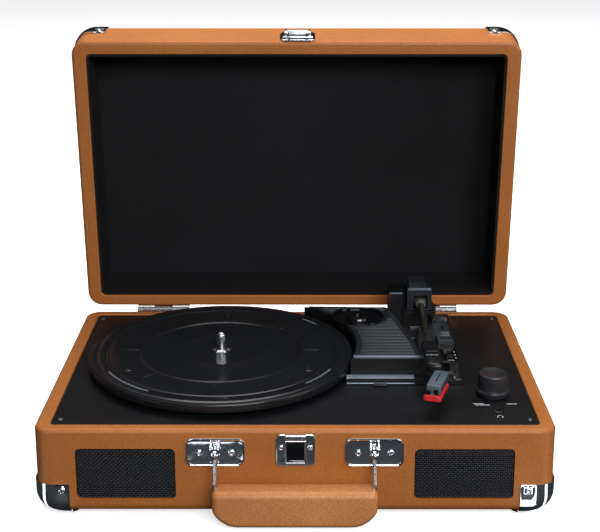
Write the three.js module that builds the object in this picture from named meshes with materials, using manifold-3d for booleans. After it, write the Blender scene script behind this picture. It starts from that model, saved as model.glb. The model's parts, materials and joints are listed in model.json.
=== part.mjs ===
// Suitcase record player: a leatherette case with a hinged lid, a belt-driven platter and a tonearm.
// Millimetres, +Z up, +X to the right, -Y to the front. The origin is the centre of the base's flat
// underside. The lid stands open; lengths inside it are given for the closed case and then turned.
import * as THREE from 'three';
import { mergeVertices } from 'three/addons/utils/BufferGeometryUtils.js';
import Module from 'manifold-3d';

const wasm = await Module();
wasm.setup();

// Driving dimensions
const CASE_W = 356;
const CASE_D = 232;
const BASE_H = 62;
const LID_H = 48;
const SEAM = 0.4;
const CORNER_R = 12;
const RIM_R = 3;
const END_EDGE_R = 14;
const LONG_EDGE_R = 7;
const GAP = 0.3;
const RIM_SIDE = 10.5;
const RIM_FRONT = 9;
const RIM_BACK = 8.5;
const LEDGE = 2.5;
const PANEL_T = 3;
const DECK_Z = 61;
const BOTTOM_T = 4;
const BOTTOM_RIM_SIDE = 22;
const BOTTOM_RIM_FRONT = 14;
const BOTTOM_INSET = 0.5;
const BOTTOM_PAD = [120, 80];
const FOOT_H = 4;
const FOOT_R = 9;
const HINGE_Y = 119;
const HINGE_Z = 62.2;
const LID_OPEN = THREE.MathUtils.degToRad(83);
const LID_RIM_SIDE = 11.5;
const LID_RIM_FRONT = 10.5;
const LID_RIM_BACK = 10;
const LID_TOP_T = 3.5;
const LINER_T = 1.5;
const PROTECTOR_SPAN = 23;
const PROTECTOR_T = 1.1;
const GRILLE_W = 68;
const GRILLE_H = 37.5;
const GRILLE_X = 115.5;
const GRILLE_Z = 29.25;
const HINGE_X = 114;
const HINGE_W = 44;
const KNUCKLE_R = 2.4;
const PIN_R = 1.1;
const KNUCKLE_SPLIT = 8;
const BRACKET_X = 54;
const BRACKET_Z = 46;
const HANDLE_AXIS_Y = -121.6;
const HANDLE_AXIS_Z = 46;
const GRIP_Y = -126.5;
const GRIP_HALF_D = 8.8;
const GRIP_TOP = 24.5;
const GRIP_BOTTOM = -2;
const GRIP_HALF_W = 56;
const ROD_R = 1.5;
const PLATTER_X = -57;
const PLATTER_Y = 3.2;
const PLATTER_R = 100;
const PLATTER_TOP = 72;
const HUB_R = 52.5;
const BELT_T = 1;
const BELT_GAP = 0.5;
const PULLEY_DIST = 78;
const PULLEY_ANGLE = THREE.MathUtils.degToRad(30);
const PULLEY_R = 6;
const PLINTH_TOP = 64.3;
const HOUSING_TOP = 77;
const RIB_TOP = 79;
const ADAPTER_X = 49.5;
const ADAPTER_Y = 58.5;
const ADAPTER_R = 19;
const ARM_X = 100;
const ARM_Y = 84;
const ARM_Z = 83.5;
const TUBE_R = 2.4;
const CARTRIDGE_TURN = THREE.MathUtils.degToRad(-18);
const KNOB_X = 142;
const KNOB_Y = -55;
const JACK_X = 142.2;
const JACK_Y = -83.2;
const FRONT = -CASE_D / 2;
const BACK = CASE_D / 2;
const LID_Z = BASE_H + SEAM;
const LID_TOP = LID_Z + LID_H;
const PULLEY_X = PLATTER_X + PULLEY_DIST * Math.cos(PULLEY_ANGLE);
const PULLEY_Y = PLATTER_Y + PULLEY_DIST * Math.sin(PULLEY_ANGLE);

// Materials: colour, roughness, metalness
const finish = (color, roughness, metalness = 0) => ({ color, roughness, metalness });
const TAN = finish(0xb5672f, 0.55);
const TAN_GRIP = finish(0xba6c33, 0.5);
const BLACK_TEXTURE = finish(0x17171a, 0.75);
const BLACK_LINER = finish(0x121214, 0.85);
const BLACK_PLASTIC = finish(0x1b1b1d, 0.45);
const DARK_GREY = finish(0x2c3037, 0.5);
const RIB_GREY = finish(0x343b44, 0.45);
const GLOSS_BLACK = finish(0x0c0c0e, 0.15);
const CHROME = finish(0xc9ced4, 0.12, 1);
const STEEL = finish(0xa9adb2, 0.35, 1);
const KNOB_METAL = finish(0x4a4c50, 0.35, 0.9);
const BRASS = finish(0xb08d45, 0.3, 1);
const RUBBER = finish(0x151515, 0.9);
const MESH_BLACK = finish(0x1a1a1b, 0.8);
const PAPER_BLACK = finish(0x202022, 0.95);
const CARTRIDGE_GREY = finish(0x6f7a84, 0.4);
const STYLUS_RED = finish(0xc8202a, 0.35);
const BOARD_GREEN = finish(0x2d5a38, 0.6);

// Solids: closed meshes joined and cut with manifold-3d
function toSolid(geometry) {
  const bare = geometry.clone();
  bare.deleteAttribute('normal');
  bare.deleteAttribute('uv');
  const merged = mergeVertices(bare, 1e-4);
  return new wasm.Manifold(new wasm.Mesh({
    numProp: 3,
    vertProperties: new Float32Array(merged.attributes.position.array),
    triVerts: new Uint32Array(merged.index.array),
  }));
}

function toGeometry(solid) {
  const mesh = solid.getMesh();
  const geometry = new THREE.BufferGeometry();
  geometry.setAttribute('position', new THREE.BufferAttribute(mesh.vertProperties, 3));
  geometry.setIndex(new THREE.BufferAttribute(mesh.triVerts, 1));
  geometry.computeVertexNormals();
  return geometry;
}

const join = (...pieces) => toGeometry(pieces.map(toSolid).reduce((a, b) => a.add(b)));
const subtractAll = (solid, tools) => tools.map(toSolid).reduce((a, b) => a.subtract(b), solid);
const cut = (piece, ...tools) => toGeometry(subtractAll(toSolid(piece), tools));
const common = (a, b) => toGeometry(toSolid(a).intersect(toSolid(b)));

// Basic forms
function box([x0, x1], [y0, y1], [z0, z1]) {
  const geometry = new THREE.BoxGeometry(x1 - x0, y1 - y0, z1 - z0);
  return geometry.translate((x0 + x1) / 2, (y0 + y1) / 2, (z0 + z1) / 2);
}

function rod(radius, [x, y, z], length, axis = 'z', sides = 12) {
  const geometry = new THREE.CylinderGeometry(radius, radius, length, sides);
  if (axis === 'z') geometry.rotateX(Math.PI / 2);
  if (axis === 'x') geometry.rotateZ(Math.PI / 2);
  return geometry.translate(x, y, z);
}

const zRod = (radius, x, y, z0, z1, sides) => rod(radius, [x, y, (z0 + z1) / 2], z1 - z0, 'z', sides);
const xRod = (radius, x0, x1, y, z, sides) => rod(radius, [(x0 + x1) / 2, y, z], x1 - x0, 'x', sides);
const yRod = (radius, x, y0, y1, z, sides) => rod(radius, [x, (y0 + y1) / 2, z], y1 - y0, 'y', sides);

function roundRect(width, height, r, cx = 0, cy = 0) {
  const [x0, x1, y0, y1] = [cx - width / 2, cx + width / 2, cy - height / 2, cy + height / 2];
  const shape = new THREE.Shape();
  shape.moveTo(x0 + r, y0);
  shape.lineTo(x1 - r, y0);
  shape.absarc(x1 - r, y0 + r, r, -Math.PI / 2, 0);
  shape.lineTo(x1, y1 - r);
  shape.absarc(x1 - r, y1 - r, r, 0, Math.PI / 2);
  shape.lineTo(x0 + r, y1);
  shape.absarc(x0 + r, y1 - r, r, Math.PI / 2, Math.PI);
  shape.lineTo(x0, y0 + r);
  shape.absarc(x0 + r, y0 + r, r, Math.PI, Math.PI * 1.5);
  return shape;
}

function slab(shape, z0, z1, curveSegments = 2) {
  const geometry = new THREE.ExtrudeGeometry(shape, { depth: z1 - z0, bevelEnabled: false, curveSegments });
  return geometry.translate(0, 0, z0);
}

// A shape drawn in X and Z, standing up between two depths
function plate(shape, y0, y1, curveSegments = 2) {
  const geometry = slab(shape, 0, y1 - y0, curveSegments);
  return geometry.rotateX(Math.PI / 2).translate(0, y1, 0);
}

// A profile of [radius, height] points turned about the Z axis at x, y
function turned(profile, x, y, segments = 32) {
  const geometry = new THREE.LatheGeometry(profile.map(([r, z]) => new THREE.Vector2(r, z)), segments);
  return geometry.rotateX(Math.PI / 2).translate(x, y, 0);
}

// An upright outline with one radius at its lower corners and another at its upper ones
function endOutline(width, z0, z1, lowR, highR) {
  const half = width / 2;
  const shape = new THREE.Shape();
  shape.moveTo(-half + lowR, z0);
  shape.lineTo(half - lowR, z0);
  shape.absarc(half - lowR, z0 + lowR, lowR, -Math.PI / 2, 0);
  shape.lineTo(half, z1 - highR);
  shape.absarc(half - highR, z1 - highR, highR, 0, Math.PI / 2);
  shape.lineTo(-half + highR, z1);
  shape.absarc(-half + highR, z1 - highR, highR, Math.PI / 2, Math.PI);
  shape.lineTo(-half, z0 + lowR);
  shape.absarc(-half + lowR, z0 + lowR, lowR, Math.PI, Math.PI * 1.5);
  return shape;
}

// The form of one case half, grown outward by an offset: what its plan, its front view and its side
// view have in common. The closed side has rounder edges at the two ends than along the length.
function caseForm(z0, z1, closedAtTop, offset = 0) {
  const [width, depth] = [CASE_W + 2 * offset, CASE_D + 2 * offset];
  const [low, high] = [z0 - offset, z1 + offset];
  const radii = (closed) => (closedAtTop ? [RIM_R, closed] : [closed, RIM_R]).map((r) => r + offset);
  const plan = slab(roundRect(width, depth, CORNER_R + offset), low, high, 3);
  const frontView = plate(endOutline(width, low, high, ...radii(END_EDGE_R)), -depth, depth, 3);
  const sideView = slab(endOutline(depth, low, high, ...radii(LONG_EDGE_R)), -width, width, 2);
  const [x, y, z] = [[1, 0, 0], [0, 1, 0], [0, 0, 1]].map((axis) => new THREE.Vector3(...axis));
  sideView.applyMatrix4(new THREE.Matrix4().makeBasis(y, z, x));
  return common(common(plan, frontView), sideView);
}

const scene = new THREE.Group();

function add(name, geometry, look, parent = scene) {
  const mesh = new THREE.Mesh(geometry, new THREE.MeshStandardMaterial(look));
  mesh.name = name;
  parent.add(mesh);
}

// Outline of the space inside a case half with the given rims
function innerOutline(side, front, back, radius, inset = 0) {
  const width = CASE_W - 2 * side - 2 * inset;
  const depth = CASE_D - front - back - 2 * inset;
  return roundRect(width, depth, radius, 0, (front - back) / 2);
}

// Base case
function baseShell() {
  const rims = [RIM_SIDE, RIM_FRONT, RIM_BACK];
  const bottomRims = [BOTTOM_RIM_SIDE, BOTTOM_RIM_FRONT, BOTTOM_RIM_FRONT];
  const lower = slab(innerOutline(...bottomRims, 4), -1, BOTTOM_T + GAP);
  const middle = slab(innerOutline(...rims, 4, LEDGE), BOTTOM_T, BASE_H - 1);
  const upper = slab(innerOutline(...rims, 4), DECK_Z - PANEL_T - GAP, BASE_H + 1);
  const windows = [-1, 1].map((side) => {
    const shape = roundRect(GRILLE_W, GRILLE_H, 3.5, side * GRILLE_X, GRILLE_Z);
    return plate(shape, FRONT - 1, FRONT + 16);
  });
  const socketWindow = box([58.5, 121.5], [BACK - 16, BACK + 1], [18, 38]);
  return cut(caseForm(0, BASE_H, false), lower, middle, upper, ...windows, socketWindow);
}

function deckPanel() {
  const outline = innerOutline(RIM_SIDE, RIM_FRONT, RIM_BACK, 4 - GAP, GAP);
  const holes = [
    [6.3, PLATTER_X, PLATTER_Y],
    [5, PULLEY_X, PULLEY_Y],
    [4, KNOB_X, KNOB_Y],
    [3.4, JACK_X, JACK_Y],
    [6.3, ARM_X, ARM_Y],
  ].map(([r, x, y]) => zRod(r, x, y, DECK_Z - PANEL_T - 1, DECK_Z + 1, 12));
  return cut(slab(outline, DECK_Z - PANEL_T, DECK_Z), ...holes);
}

function speaker(x) {
  const profile = [[0, 0], [14, 0], [14, 9], [8, 9], [13, 12], [19, 22], [23, 22], [23, 24], [19, 24],
    [7, 15], [0, 17]];
  const depth = FRONT + RIM_FRONT + LEDGE + GAP + 24;
  return turned(profile, 0, 0, 12).rotateX(Math.PI / 2).translate(x, depth, GRILLE_Z);
}

// A metal cap round one corner: a thin skin just outside the case form
function cornerCap(xSide, ySide, z0, z1, atTop) {
  const skin = cut(caseForm(z0, z1, atTop, GAP + PROTECTOR_T), caseForm(z0, z1, atTop, GAP));
  const out = PROTECTOR_SPAN * 2;
  const span = (side, half) => [side * (half - PROTECTOR_SPAN), side * (half + out)].sort((a, b) => a - b);
  const zSpan = atTop ? [z1 - PROTECTOR_SPAN, z1 + out] : [z0 - out, z0 + PROTECTOR_SPAN];
  return common(skin, box(span(xSide, CASE_W / 2), span(ySide, CASE_D / 2), zSpan));
}

const SIDES = [['left', -1], ['right', 1]];
const ENDS = [['front', -1], ['back', 1]];

add('base_shell', baseShell(), TAN);
// The bottom panel lies a little inside the shell's underside, and a pad at its middle is flush with it
const bottomOutline = innerOutline(BOTTOM_RIM_SIDE, BOTTOM_RIM_FRONT, BOTTOM_RIM_FRONT, 4 - GAP, GAP);
add('base_bottom_panel', join(
  slab(bottomOutline, BOTTOM_INSET, BOTTOM_T),
  slab(roundRect(...BOTTOM_PAD, 4), 0, BOTTOM_INSET + 1),
), BLACK_TEXTURE);
add('deck_panel', deckPanel(), BLACK_TEXTURE);
for (const [side, x] of SIDES) {
  const grille = roundRect(GRILLE_W - 2 * GAP, GRILLE_H - 2 * GAP, 3.2, x * GRILLE_X, GRILLE_Z);
  add(`speaker_grille_${side}`, plate(grille, FRONT + 0.6, FRONT + 2.6), MESH_BLACK);
  add(`speaker_${side}`, speaker(x * GRILLE_X), PAPER_BLACK);
  for (const [end, y] of ENDS) {
    add(`base_corner_${end}_${side}`, cornerCap(x, y, 0, BASE_H, false), CHROME);
    add(`foot_${end}_${side}`, zRod(FOOT_R, x * 140, y * 82, -FOOT_H, BOTTOM_INSET - 0.01, 20), RUBBER);
  }
}

// Hinges: each has two knuckles and the pin on the base leaf, and one knuckle on the lid leaf
function hingeKnuckle(x, x0, x1, hole) {
  const barrel = xRod(KNUCKLE_R, x + x0, x + x1, HINGE_Y, HINGE_Z, 12);
  return hole ? cut(barrel, xRod(hole, x + x0 - 1, x + x1 + 1, HINGE_Y, HINGE_Z, 12)) : barrel;
}

const LEAF_Y = [BACK + GAP, BACK + GAP + 1];
const LEAF_CLEAR = KNUCKLE_R + 0.4;

function baseLeaf(x) {
  const half = HINGE_W / 2;
  const leaf = box([x - half, x + half], LEAF_Y, [HINGE_Z - 17, HINGE_Z - LEAF_CLEAR]);
  const tabs = [[-half, -KNUCKLE_SPLIT], [KNUCKLE_SPLIT, half]].map(([x0, x1]) => join(
    box([x + x0, x + x1], LEAF_Y, [HINGE_Z - LEAF_CLEAR - 1, HINGE_Z]),
    hingeKnuckle(x, x0, x1),
  ));
  const pin = xRod(PIN_R, x - half, x + half, HINGE_Y, HINGE_Z, 12);
  return join(leaf, ...tabs, pin);
}

function lidLeaf(x) {
  const half = HINGE_W / 2;
  const reach = KNUCKLE_SPLIT - GAP;
  const leaf = box([x - half, x + half], LEAF_Y, [HINGE_Z + LEAF_CLEAR, HINGE_Z + 17]);
  const tab = box([x - reach, x + reach], LEAF_Y, [HINGE_Z, HINGE_Z + LEAF_CLEAR + 1]);
  const bore = xRod(PIN_R + GAP, x - reach - 1, x + reach + 1, HINGE_Y, HINGE_Z, 12);
  return cut(join(leaf, tab, hingeKnuckle(x, -reach, reach)), bore);
}

for (const [side, x] of SIDES) add(`base_hinge_leaf_${side}`, baseLeaf(x * HINGE_X), STEEL);

// Front hardware: latch keeper and handle brackets
function latchKeeper() {
  const back = FRONT - GAP;
  const body = plate(roundRect(26.6, 23.7, 3, 0.5, 47.5), back - 1.2, back);
  const frame = plate(roundRect(14.6, 19.6, 1, 0.5, 48), back - 3.2, back - 1);
  const shelf = box([-6.8, 7.8], [back - 3.6, back - 1], [54.6, 59]);
  const window = box([-5.5, 6.5], [back - 5, back + 1], [39.4, 54.2]);
  return cut(join(body, frame, shelf), window);
}

const EAR_INNER = 2;
const EAR_OUTER = 3;
const EAR_HALF_H = 5.5;
const EAR_REACH = 2.3;
const HANDLE_PIN_R = 1.2;

function handleBracket(x) {
  const back = FRONT - GAP;
  const body = plate(roundRect(40.5, 20.7, 5, x, BRACKET_Z), back - 1.2, back);
  const ears = [-1, 1].map((side) => {
    const span = [x + side * EAR_INNER, x + side * EAR_OUTER].sort((a, b) => a - b);
    const height = [HANDLE_AXIS_Z - EAR_HALF_H, HANDLE_AXIS_Z + EAR_HALF_H];
    return box(span, [HANDLE_AXIS_Y - EAR_REACH, back - 1], height);
  });
  const pin = xRod(HANDLE_PIN_R, x - EAR_OUTER, x + EAR_OUTER, HANDLE_AXIS_Y, HANDLE_AXIS_Z, 12);
  return join(body, ...ears, pin);
}

add('latch_keeper', latchKeeper(), CHROME);
for (const [side, x] of SIDES) add(`handle_bracket_${side}`, handleBracket(x * BRACKET_X), CHROME);

// Handle: one bent steel rod with an eye at each end, and a moulded grip round its middle
const EYE_R = 3;
const EYE_HALF_W = 1.7;
function bailPath() {
  const x = BRACKET_X;
  const path = new THREE.CurvePath();
  const low = GRIP_TOP - 13;
  const points = [[-x, HANDLE_AXIS_Y, HANDLE_AXIS_Z - 2.3], [-x, GRIP_Y, GRIP_TOP], [-x + 2, GRIP_Y, low + 2],
    [-x + 7, GRIP_Y, low - 1]];
  const half = points.map(([px, py, pz]) => new THREE.Vector3(px, py, pz));
  const mirrored = half.map((p) => new THREE.Vector3(-p.x, p.y, p.z)).reverse();
  path.add(new THREE.CatmullRomCurve3(half, false, 'centripetal'));
  path.add(new THREE.LineCurve3(half.at(-1), mirrored[0]));
  path.add(new THREE.CatmullRomCurve3(mirrored, false, 'centripetal'));
  return path;
}

function bail(radius) {
  const circle = new THREE.Shape().absarc(0, 0, radius, 0, Math.PI * 2);
  return new THREE.ExtrudeGeometry(circle, { steps: 15, curveSegments: 4, extrudePath: bailPath() });
}

function handleBail() {
  const eyes = [-1, 1].map((side) => {
    const x = side * BRACKET_X;
    return xRod(EYE_R, x - EYE_HALF_W, x + EYE_HALF_W, HANDLE_AXIS_Y, HANDLE_AXIS_Z, 12);
  });
  const bores = [-1, 1].map((side) => {
    const x = side * BRACKET_X;
    return xRod(HANDLE_PIN_R + GAP, x - 4, x + 4, HANDLE_AXIS_Y, HANDLE_AXIS_Z, 12);
  });
  return cut(join(bail(ROD_R), ...eyes), ...bores);
}

function handleGrip() {
  const shape = new THREE.Shape();
  const [w, low, top] = [GRIP_HALF_W, GRIP_BOTTOM, GRIP_TOP];
  shape.moveTo(-w + 5, top);
  shape.lineTo(w - 5, top);
  shape.quadraticCurveTo(w, top, w, top - 5);
  shape.lineTo(w, low + 15);
  shape.quadraticCurveTo(w, low + 9, w - 4.5, low + 5.5);
  shape.quadraticCurveTo(w - 9, low, w - 16, low);
  shape.lineTo(-w + 16, low);
  shape.quadraticCurveTo(-w + 9, low, -w + 4.5, low + 5.5);
  shape.quadraticCurveTo(-w, low + 9, -w, low + 15);
  shape.lineTo(-w, top - 5);
  shape.quadraticCurveTo(-w, top, -w + 5, top);
  const round = 3;
  const geometry = new THREE.ExtrudeGeometry(shape, {
    depth: 2 * (GRIP_HALF_D - round),
    bevelThickness: round,
    bevelSize: round,
    bevelOffset: -round,
    bevelSegments: 2,
    curveSegments: 2,
  });
  geometry.rotateX(Math.PI / 2).translate(0, GRIP_Y + GRIP_HALF_D - round, 0);
  return cut(geometry, bail(ROD_R + GAP));
}

add('handle_bail', handleBail(), STEEL);
add('handle_grip', handleGrip(), TAN_GRIP);

// Platter drive: bush, platter with a hub ring underneath, spindle, belt, pulley and motor
const platterProfile = [[7, 69.4], [HUB_R - 3, 69.4], [HUB_R - 3, 63.5], [HUB_R, 63.5], [HUB_R, 69.4],
  [PLATTER_R - 3, 69.4], [PLATTER_R - 3, 65], [PLATTER_R, 65], [PLATTER_R, PLATTER_TOP - 1],
  [PLATTER_R - 2, PLATTER_TOP], [60.5, PLATTER_TOP], [59.5, PLATTER_TOP - 0.8], [7, PLATTER_TOP - 0.8],
  [7, 69.4]];
const spindleProfile = [[0, 60], [3.2, 60], [3.2, 66.4], [6.6, 66.4], [6.6, 72.6], [3.6, 73.6], [3.6, 83.5],
  [2.6, 86], [0, 86.6]];
const bushProfile = [[3.5, 48], [6, 48], [6, 61.3], [11, 61.3], [11, 62.6], [6, 62.6], [6, 65.8], [3.5, 65.8],
  [3.5, 48]];
const pulleyProfile = [[0, 50], [1, 50], [1, 62.4], [PULLEY_R + 1, 62.4], [PULLEY_R, 63.2], [PULLEY_R, 67.2],
  [PULLEY_R + 1, 68], [0, 68]];

// The belt is a band round the hub ring and the pulley, on their outer tangents
function beltOutline(hubR, pulleyR) {
  const lean = Math.acos((hubR - pulleyR) / PULLEY_DIST);
  const start = PULLEY_ANGLE + lean;
  const end = PULLEY_ANGLE - lean;
  const outline = new THREE.Shape();
  outline.absarc(PLATTER_X, PLATTER_Y, hubR, start, end + 2 * Math.PI);
  outline.absarc(PULLEY_X, PULLEY_Y, pulleyR, end, start);
  outline.closePath();
  return outline;
}

const beltOuter = slab(beltOutline(HUB_R + BELT_GAP + BELT_T, PULLEY_R + BELT_GAP + BELT_T), 63.8, 66.8, 10);
const beltInner = slab(beltOutline(HUB_R + BELT_GAP, PULLEY_R + BELT_GAP), 62, 69, 10);

add('platter', turned(platterProfile, PLATTER_X, PLATTER_Y, 36), BLACK_PLASTIC);
add('spindle', turned(spindleProfile, PLATTER_X, PLATTER_Y, 14), STEEL);
add('platter_bearing_bush', turned(bushProfile, PLATTER_X, PLATTER_Y, 14), BRASS);
add('drive_belt', cut(beltOuter, beltInner), RUBBER);
add('motor_pulley', turned(pulleyProfile, PULLEY_X, PULLEY_Y, 12), BRASS);
add('drive_motor', cut(
  join(zRod(16, PULLEY_X, PULLEY_Y, 30, 54, 20), zRod(4.5, PULLEY_X, PULLEY_Y, 28, 57.6, 12)),
  zRod(1.5, PULLEY_X, PULLEY_Y, 46, 60, 12),
), STEEL);

// Mechanism mouldings on the right of the platter
function besidePlatter(clearance, front, back, rightEdge) {
  const r = PLATTER_R + clearance;
  const angleAt = (y) => Math.asin((y - PLATTER_Y) / r);
  const shape = new THREE.Shape();
  shape.absarc(PLATTER_X, PLATTER_Y, r, angleAt(front), angleAt(back));
  for (const [x, y] of rightEdge) shape.lineTo(x, y);
  shape.closePath();
  return shape;
}

const COVER_EDGE = [[73, 84], [79.5, 58], [84.5, 33], [90, 5], [94, -28]];
const coverEdge = (front) => COVER_EDGE.map(([x, y]) => [x, Math.max(y, front)]);
const adapterWell = zRod(ADAPTER_R + 0.9, ADAPTER_X, ADAPTER_Y, 73, RIB_TOP + 1, 24);
const plinthOutline = besidePlatter(2.5, -38, 84, [[30, 102], [127, 102], [123, -38]]);
const housingOutline = besidePlatter(2.5, -28, 84, coverEdge(-28));
const ribOutline = besidePlatter(3.5, -24, 82, coverEdge(-24).map(([x, y]) => [x - 0.5, Math.min(y, 82)]));

// The plinth carries the guide of the cue lift bar and the stand of the cue lever
const LIFT_POST = [104, 40];
const armPost = zRod(6.3, ARM_X, ARM_Y, DECK_Z, RIB_TOP, 20);
add('mechanism_plinth', cut(
  join(
    slab(plinthOutline, DECK_Z + GAP, PLINTH_TOP, 7),
    box([99, 108.6], [35, 45], [PLINTH_TOP - 1, 72]),
    box([109.4, 111.7], [56, 68], [PLINTH_TOP - 1, 77]),
  ),
  armPost,
  zRod(2.3, LIFT_POST[0], LIFT_POST[1], DECK_Z, 75, 12),
), BLACK_PLASTIC);
add('mechanism_housing', cut(slab(housingOutline, PLINTH_TOP + GAP, HOUSING_TOP, 7), adapterWell), DARK_GREY);
add('ribbed_cover_plate', cut(slab(ribOutline, HOUSING_TOP + GAP, RIB_TOP, 7), adapterWell), RIB_GREY);
add('record_adapter', cut(
  join(zRod(ADAPTER_R, ADAPTER_X, ADAPTER_Y, 73.3, 77, 24), zRod(9, ADAPTER_X, ADAPTER_Y, 76, 79.5, 20)),
  zRod(3.7, ADAPTER_X, ADAPTER_Y, 72, 81, 12),
), BLACK_PLASTIC);

// Tonearm: a fixed base with a side cover, a turret that turns, and the arm that lifts in it
const BARREL_R = 4.6;
const armBase = join(
  box([87, 113], [72, 99], [PLINTH_TOP + GAP, 76.8]),
  box([75.5, 88], [79, 92], [PLINTH_TOP + GAP, 91]),
  box([75.5, 88], [91, 99.6], [PLINTH_TOP + GAP, 91]),
  box([87, 94], [98.2, 99.6], [PLINTH_TOP + GAP, 91]),
);
add('tonearm_base', cut(armBase, armPost, box([86.6, 120], [60, 98.1], [76.8, 95])), DARK_GREY);

function tonearmTurret() {
  const body = join(
    box([90, 110], [76, 93], [77.4, 94.5]),
    box([91.5, 105], [78, 92], [94, 101]),
    zRod(6, ARM_X, ARM_Y, DECK_Z - 8, 78, 12),
  );
  const slot = box([95.4, 106.6], [70, 88], [78.4, 89.6]);
  const pin = xRod(1.2, 91, 109, 82, ARM_Z, 12);
  return join(cut(body, slot), pin);
}
add('tonearm_turret', tonearmTurret(), DARK_GREY);

function tonearmTube() {
  const path = new THREE.CatmullRomCurve3([
    new THREE.Vector3(101, 82, ARM_Z),
    new THREE.Vector3(100.6, 50, ARM_Z),
    new THREE.Vector3(99.4, 15, ARM_Z),
    new THREE.Vector3(98.4, -13, ARM_Z),
  ]);
  const circle = new THREE.Shape().absarc(0, 0, TUBE_R, 0, Math.PI * 2);
  const tube = new THREE.ExtrudeGeometry(circle, { steps: 6, curveSegments: 5, extrudePath: path });
  const barrel = xRod(BARREL_R, 95.9, 106.1, 82, ARM_Z, 20);
  return cut(join(tube, barrel), xRod(1.2 + GAP, 90, 112, 82, ARM_Z, 12));
}
add('tonearm_tube', tonearmTube(), BLACK_PLASTIC);

function headshell() {
  const shape = new THREE.Shape();
  shape.moveTo(94, -13.3);
  shape.lineTo(103, -13.3);
  shape.lineTo(105, -20);
  shape.lineTo(106.5, -50);
  shape.lineTo(104, -61);
  shape.lineTo(93.5, -58);
  shape.lineTo(92, -22);
  shape.closePath();
  return slab(shape, 79.8, 87);
}
add('headshell', headshell(), BLACK_PLASTIC);

// Cartridge and stylus are turned inward in the plane of the record
function inArmPlane(geometry) {
  return geometry.rotateZ(CARTRIDGE_TURN).translate(100.2, -77, 0);
}

add('cartridge', inArmPlane(join(
  box([-5, 5], [-16, 13.6], [77.4, 79.4]),
  box([-5, 5], [-16, 13], [79, 79.5]),
  box([-5, 5], [-16, 12], [79.3, 84]),
)), CARTRIDGE_GREY);
add('stylus', inArmPlane(join(
  box([-6.2, 6.2], [-19.5, -12], [73.4, 77]),
  box([2.6, 6.2], [-14, 8], [73.4, 77]),
)), STYLUS_RED);

// Arm rest with its clip, cue lever with its lift bar, and the two slide switches
const REST_Y = [23, 31];
const CLIP_X = 107.2;
const CLIP_Z = 87.5;
const CLIP_Y = [25, 29];
function armRest() {
  const ears = [[22.2, 24.7], [29.3, 31.8]].map((span) => box([105.5, 112], span, [75, 89.3]));
  const body = join(
    box([109, 121], [10, 34], [PLINTH_TOP + GAP, 76]),
    box([95, 112], REST_Y, [PLINTH_TOP + GAP, 80.4]),
    box([103.6, 105], REST_Y, [80, 83.4]),
    ...ears,
  );
  return cut(body, yRod(1.1, CLIP_X, 20, 34, CLIP_Z, 12));
}
add('arm_rest', armRest(), DARK_GREY);
add('arm_rest_clip', join(
  yRod(1.6, CLIP_X, ...CLIP_Y, CLIP_Z, 12),
  yRod(0.8, CLIP_X, CLIP_Y[0] - 2, CLIP_Y[1] + 2, CLIP_Z, 12),
  box([CLIP_X - 0.8, CLIP_X + 0.8], CLIP_Y, [CLIP_Z, CLIP_Z + 12.5]),
), BLACK_PLASTIC);

add('cue_lift_bar', join(
  zRod(2, LIFT_POST[0], LIFT_POST[1], PLINTH_TOP - 1, 75, 12),
  box([90, 108], [38.2, 41.8], [74.6, 76.4]),
), STEEL);
add('cue_lever', join(
  xRod(3, 112, 121, 62, 74, 12),
  box([115, 119], [38, 62], [72.6, 75.4]),
  zRod(3.4, 117, 40, 72.2, 78, 12),
), BLACK_PLASTIC);

add('speed_switch_housing', cut(
  box([109.4, 121.4], [-21, 8], [PLINTH_TOP + GAP, 73]),
  box([112, 119], [-18.6, 5.6], [71, 74]),
), GLOSS_BLACK);
add('speed_selector', box([113, 118], [-18, -12], [71.4, 77]), GLOSS_BLACK);
add('auto_stop_switch', box([111, 116], [-34.5, -29], [PLINTH_TOP + GAP, 68]), GLOSS_BLACK);

// Controls and electrics
const knobProfile = [[0, DECK_Z + GAP], [12.2, DECK_Z + GAP], [12.2, DECK_Z + 1.8], [10.7, DECK_Z + 3],
  [10.7, DECK_Z + 16.4], [10, DECK_Z + 17.2], [0, DECK_Z + 17.2]];
add('volume_knob', turned(knobProfile, KNOB_X, KNOB_Y, 20), KNOB_METAL);
add('volume_potentiometer', join(
  zRod(8, KNOB_X, KNOB_Y, 46, 56, 12),
  zRod(3, KNOB_X, KNOB_Y, 50, DECK_Z, 12),
), STEEL);
const jackProfile = [[1.8, 44], [3.1, 44], [3.1, DECK_Z + 0.3], [4, DECK_Z + 0.3], [4, DECK_Z + 1],
  [1.8, DECK_Z + 1], [1.8, 44]];
add('headphone_jack', turned(jackProfile, JACK_X, JACK_Y, 12), GLOSS_BLACK);
add('circuit_board', box([60, 150], [20, 80], [12, 13.6]), BOARD_GREEN);

function rearSockets() {
  const face = box([58.8, 121.2], [BACK - 2.6, BACK - 0.6], [18.3, 37.7]);
  const barrels = [[66, 5], [80, 4.2], [94, 4.2], [110, 3.6]];
  const bodies = barrels.map(([x, r]) => yRod(r, x, BACK - 14, BACK - 0.2, 28, 12));
  const holes = barrels.map(([x, r]) => yRod(r - 1.8, x, BACK - 8, BACK + 2, 28, 12));
  return cut(join(face, ...bodies), ...holes);
}
add('rear_socket_panel', rearSockets(), BLACK_PLASTIC);

// Lid: a group on the hinge axis, turned open
const lid = new THREE.Group();
lid.position.set(0, HINGE_Y, HINGE_Z);
lid.rotation.x = -LID_OPEN;
scene.add(lid);
const addToLid = (name, geometry, look) => add(name, geometry.translate(0, -HINGE_Y, -HINGE_Z), look, lid);

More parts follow.
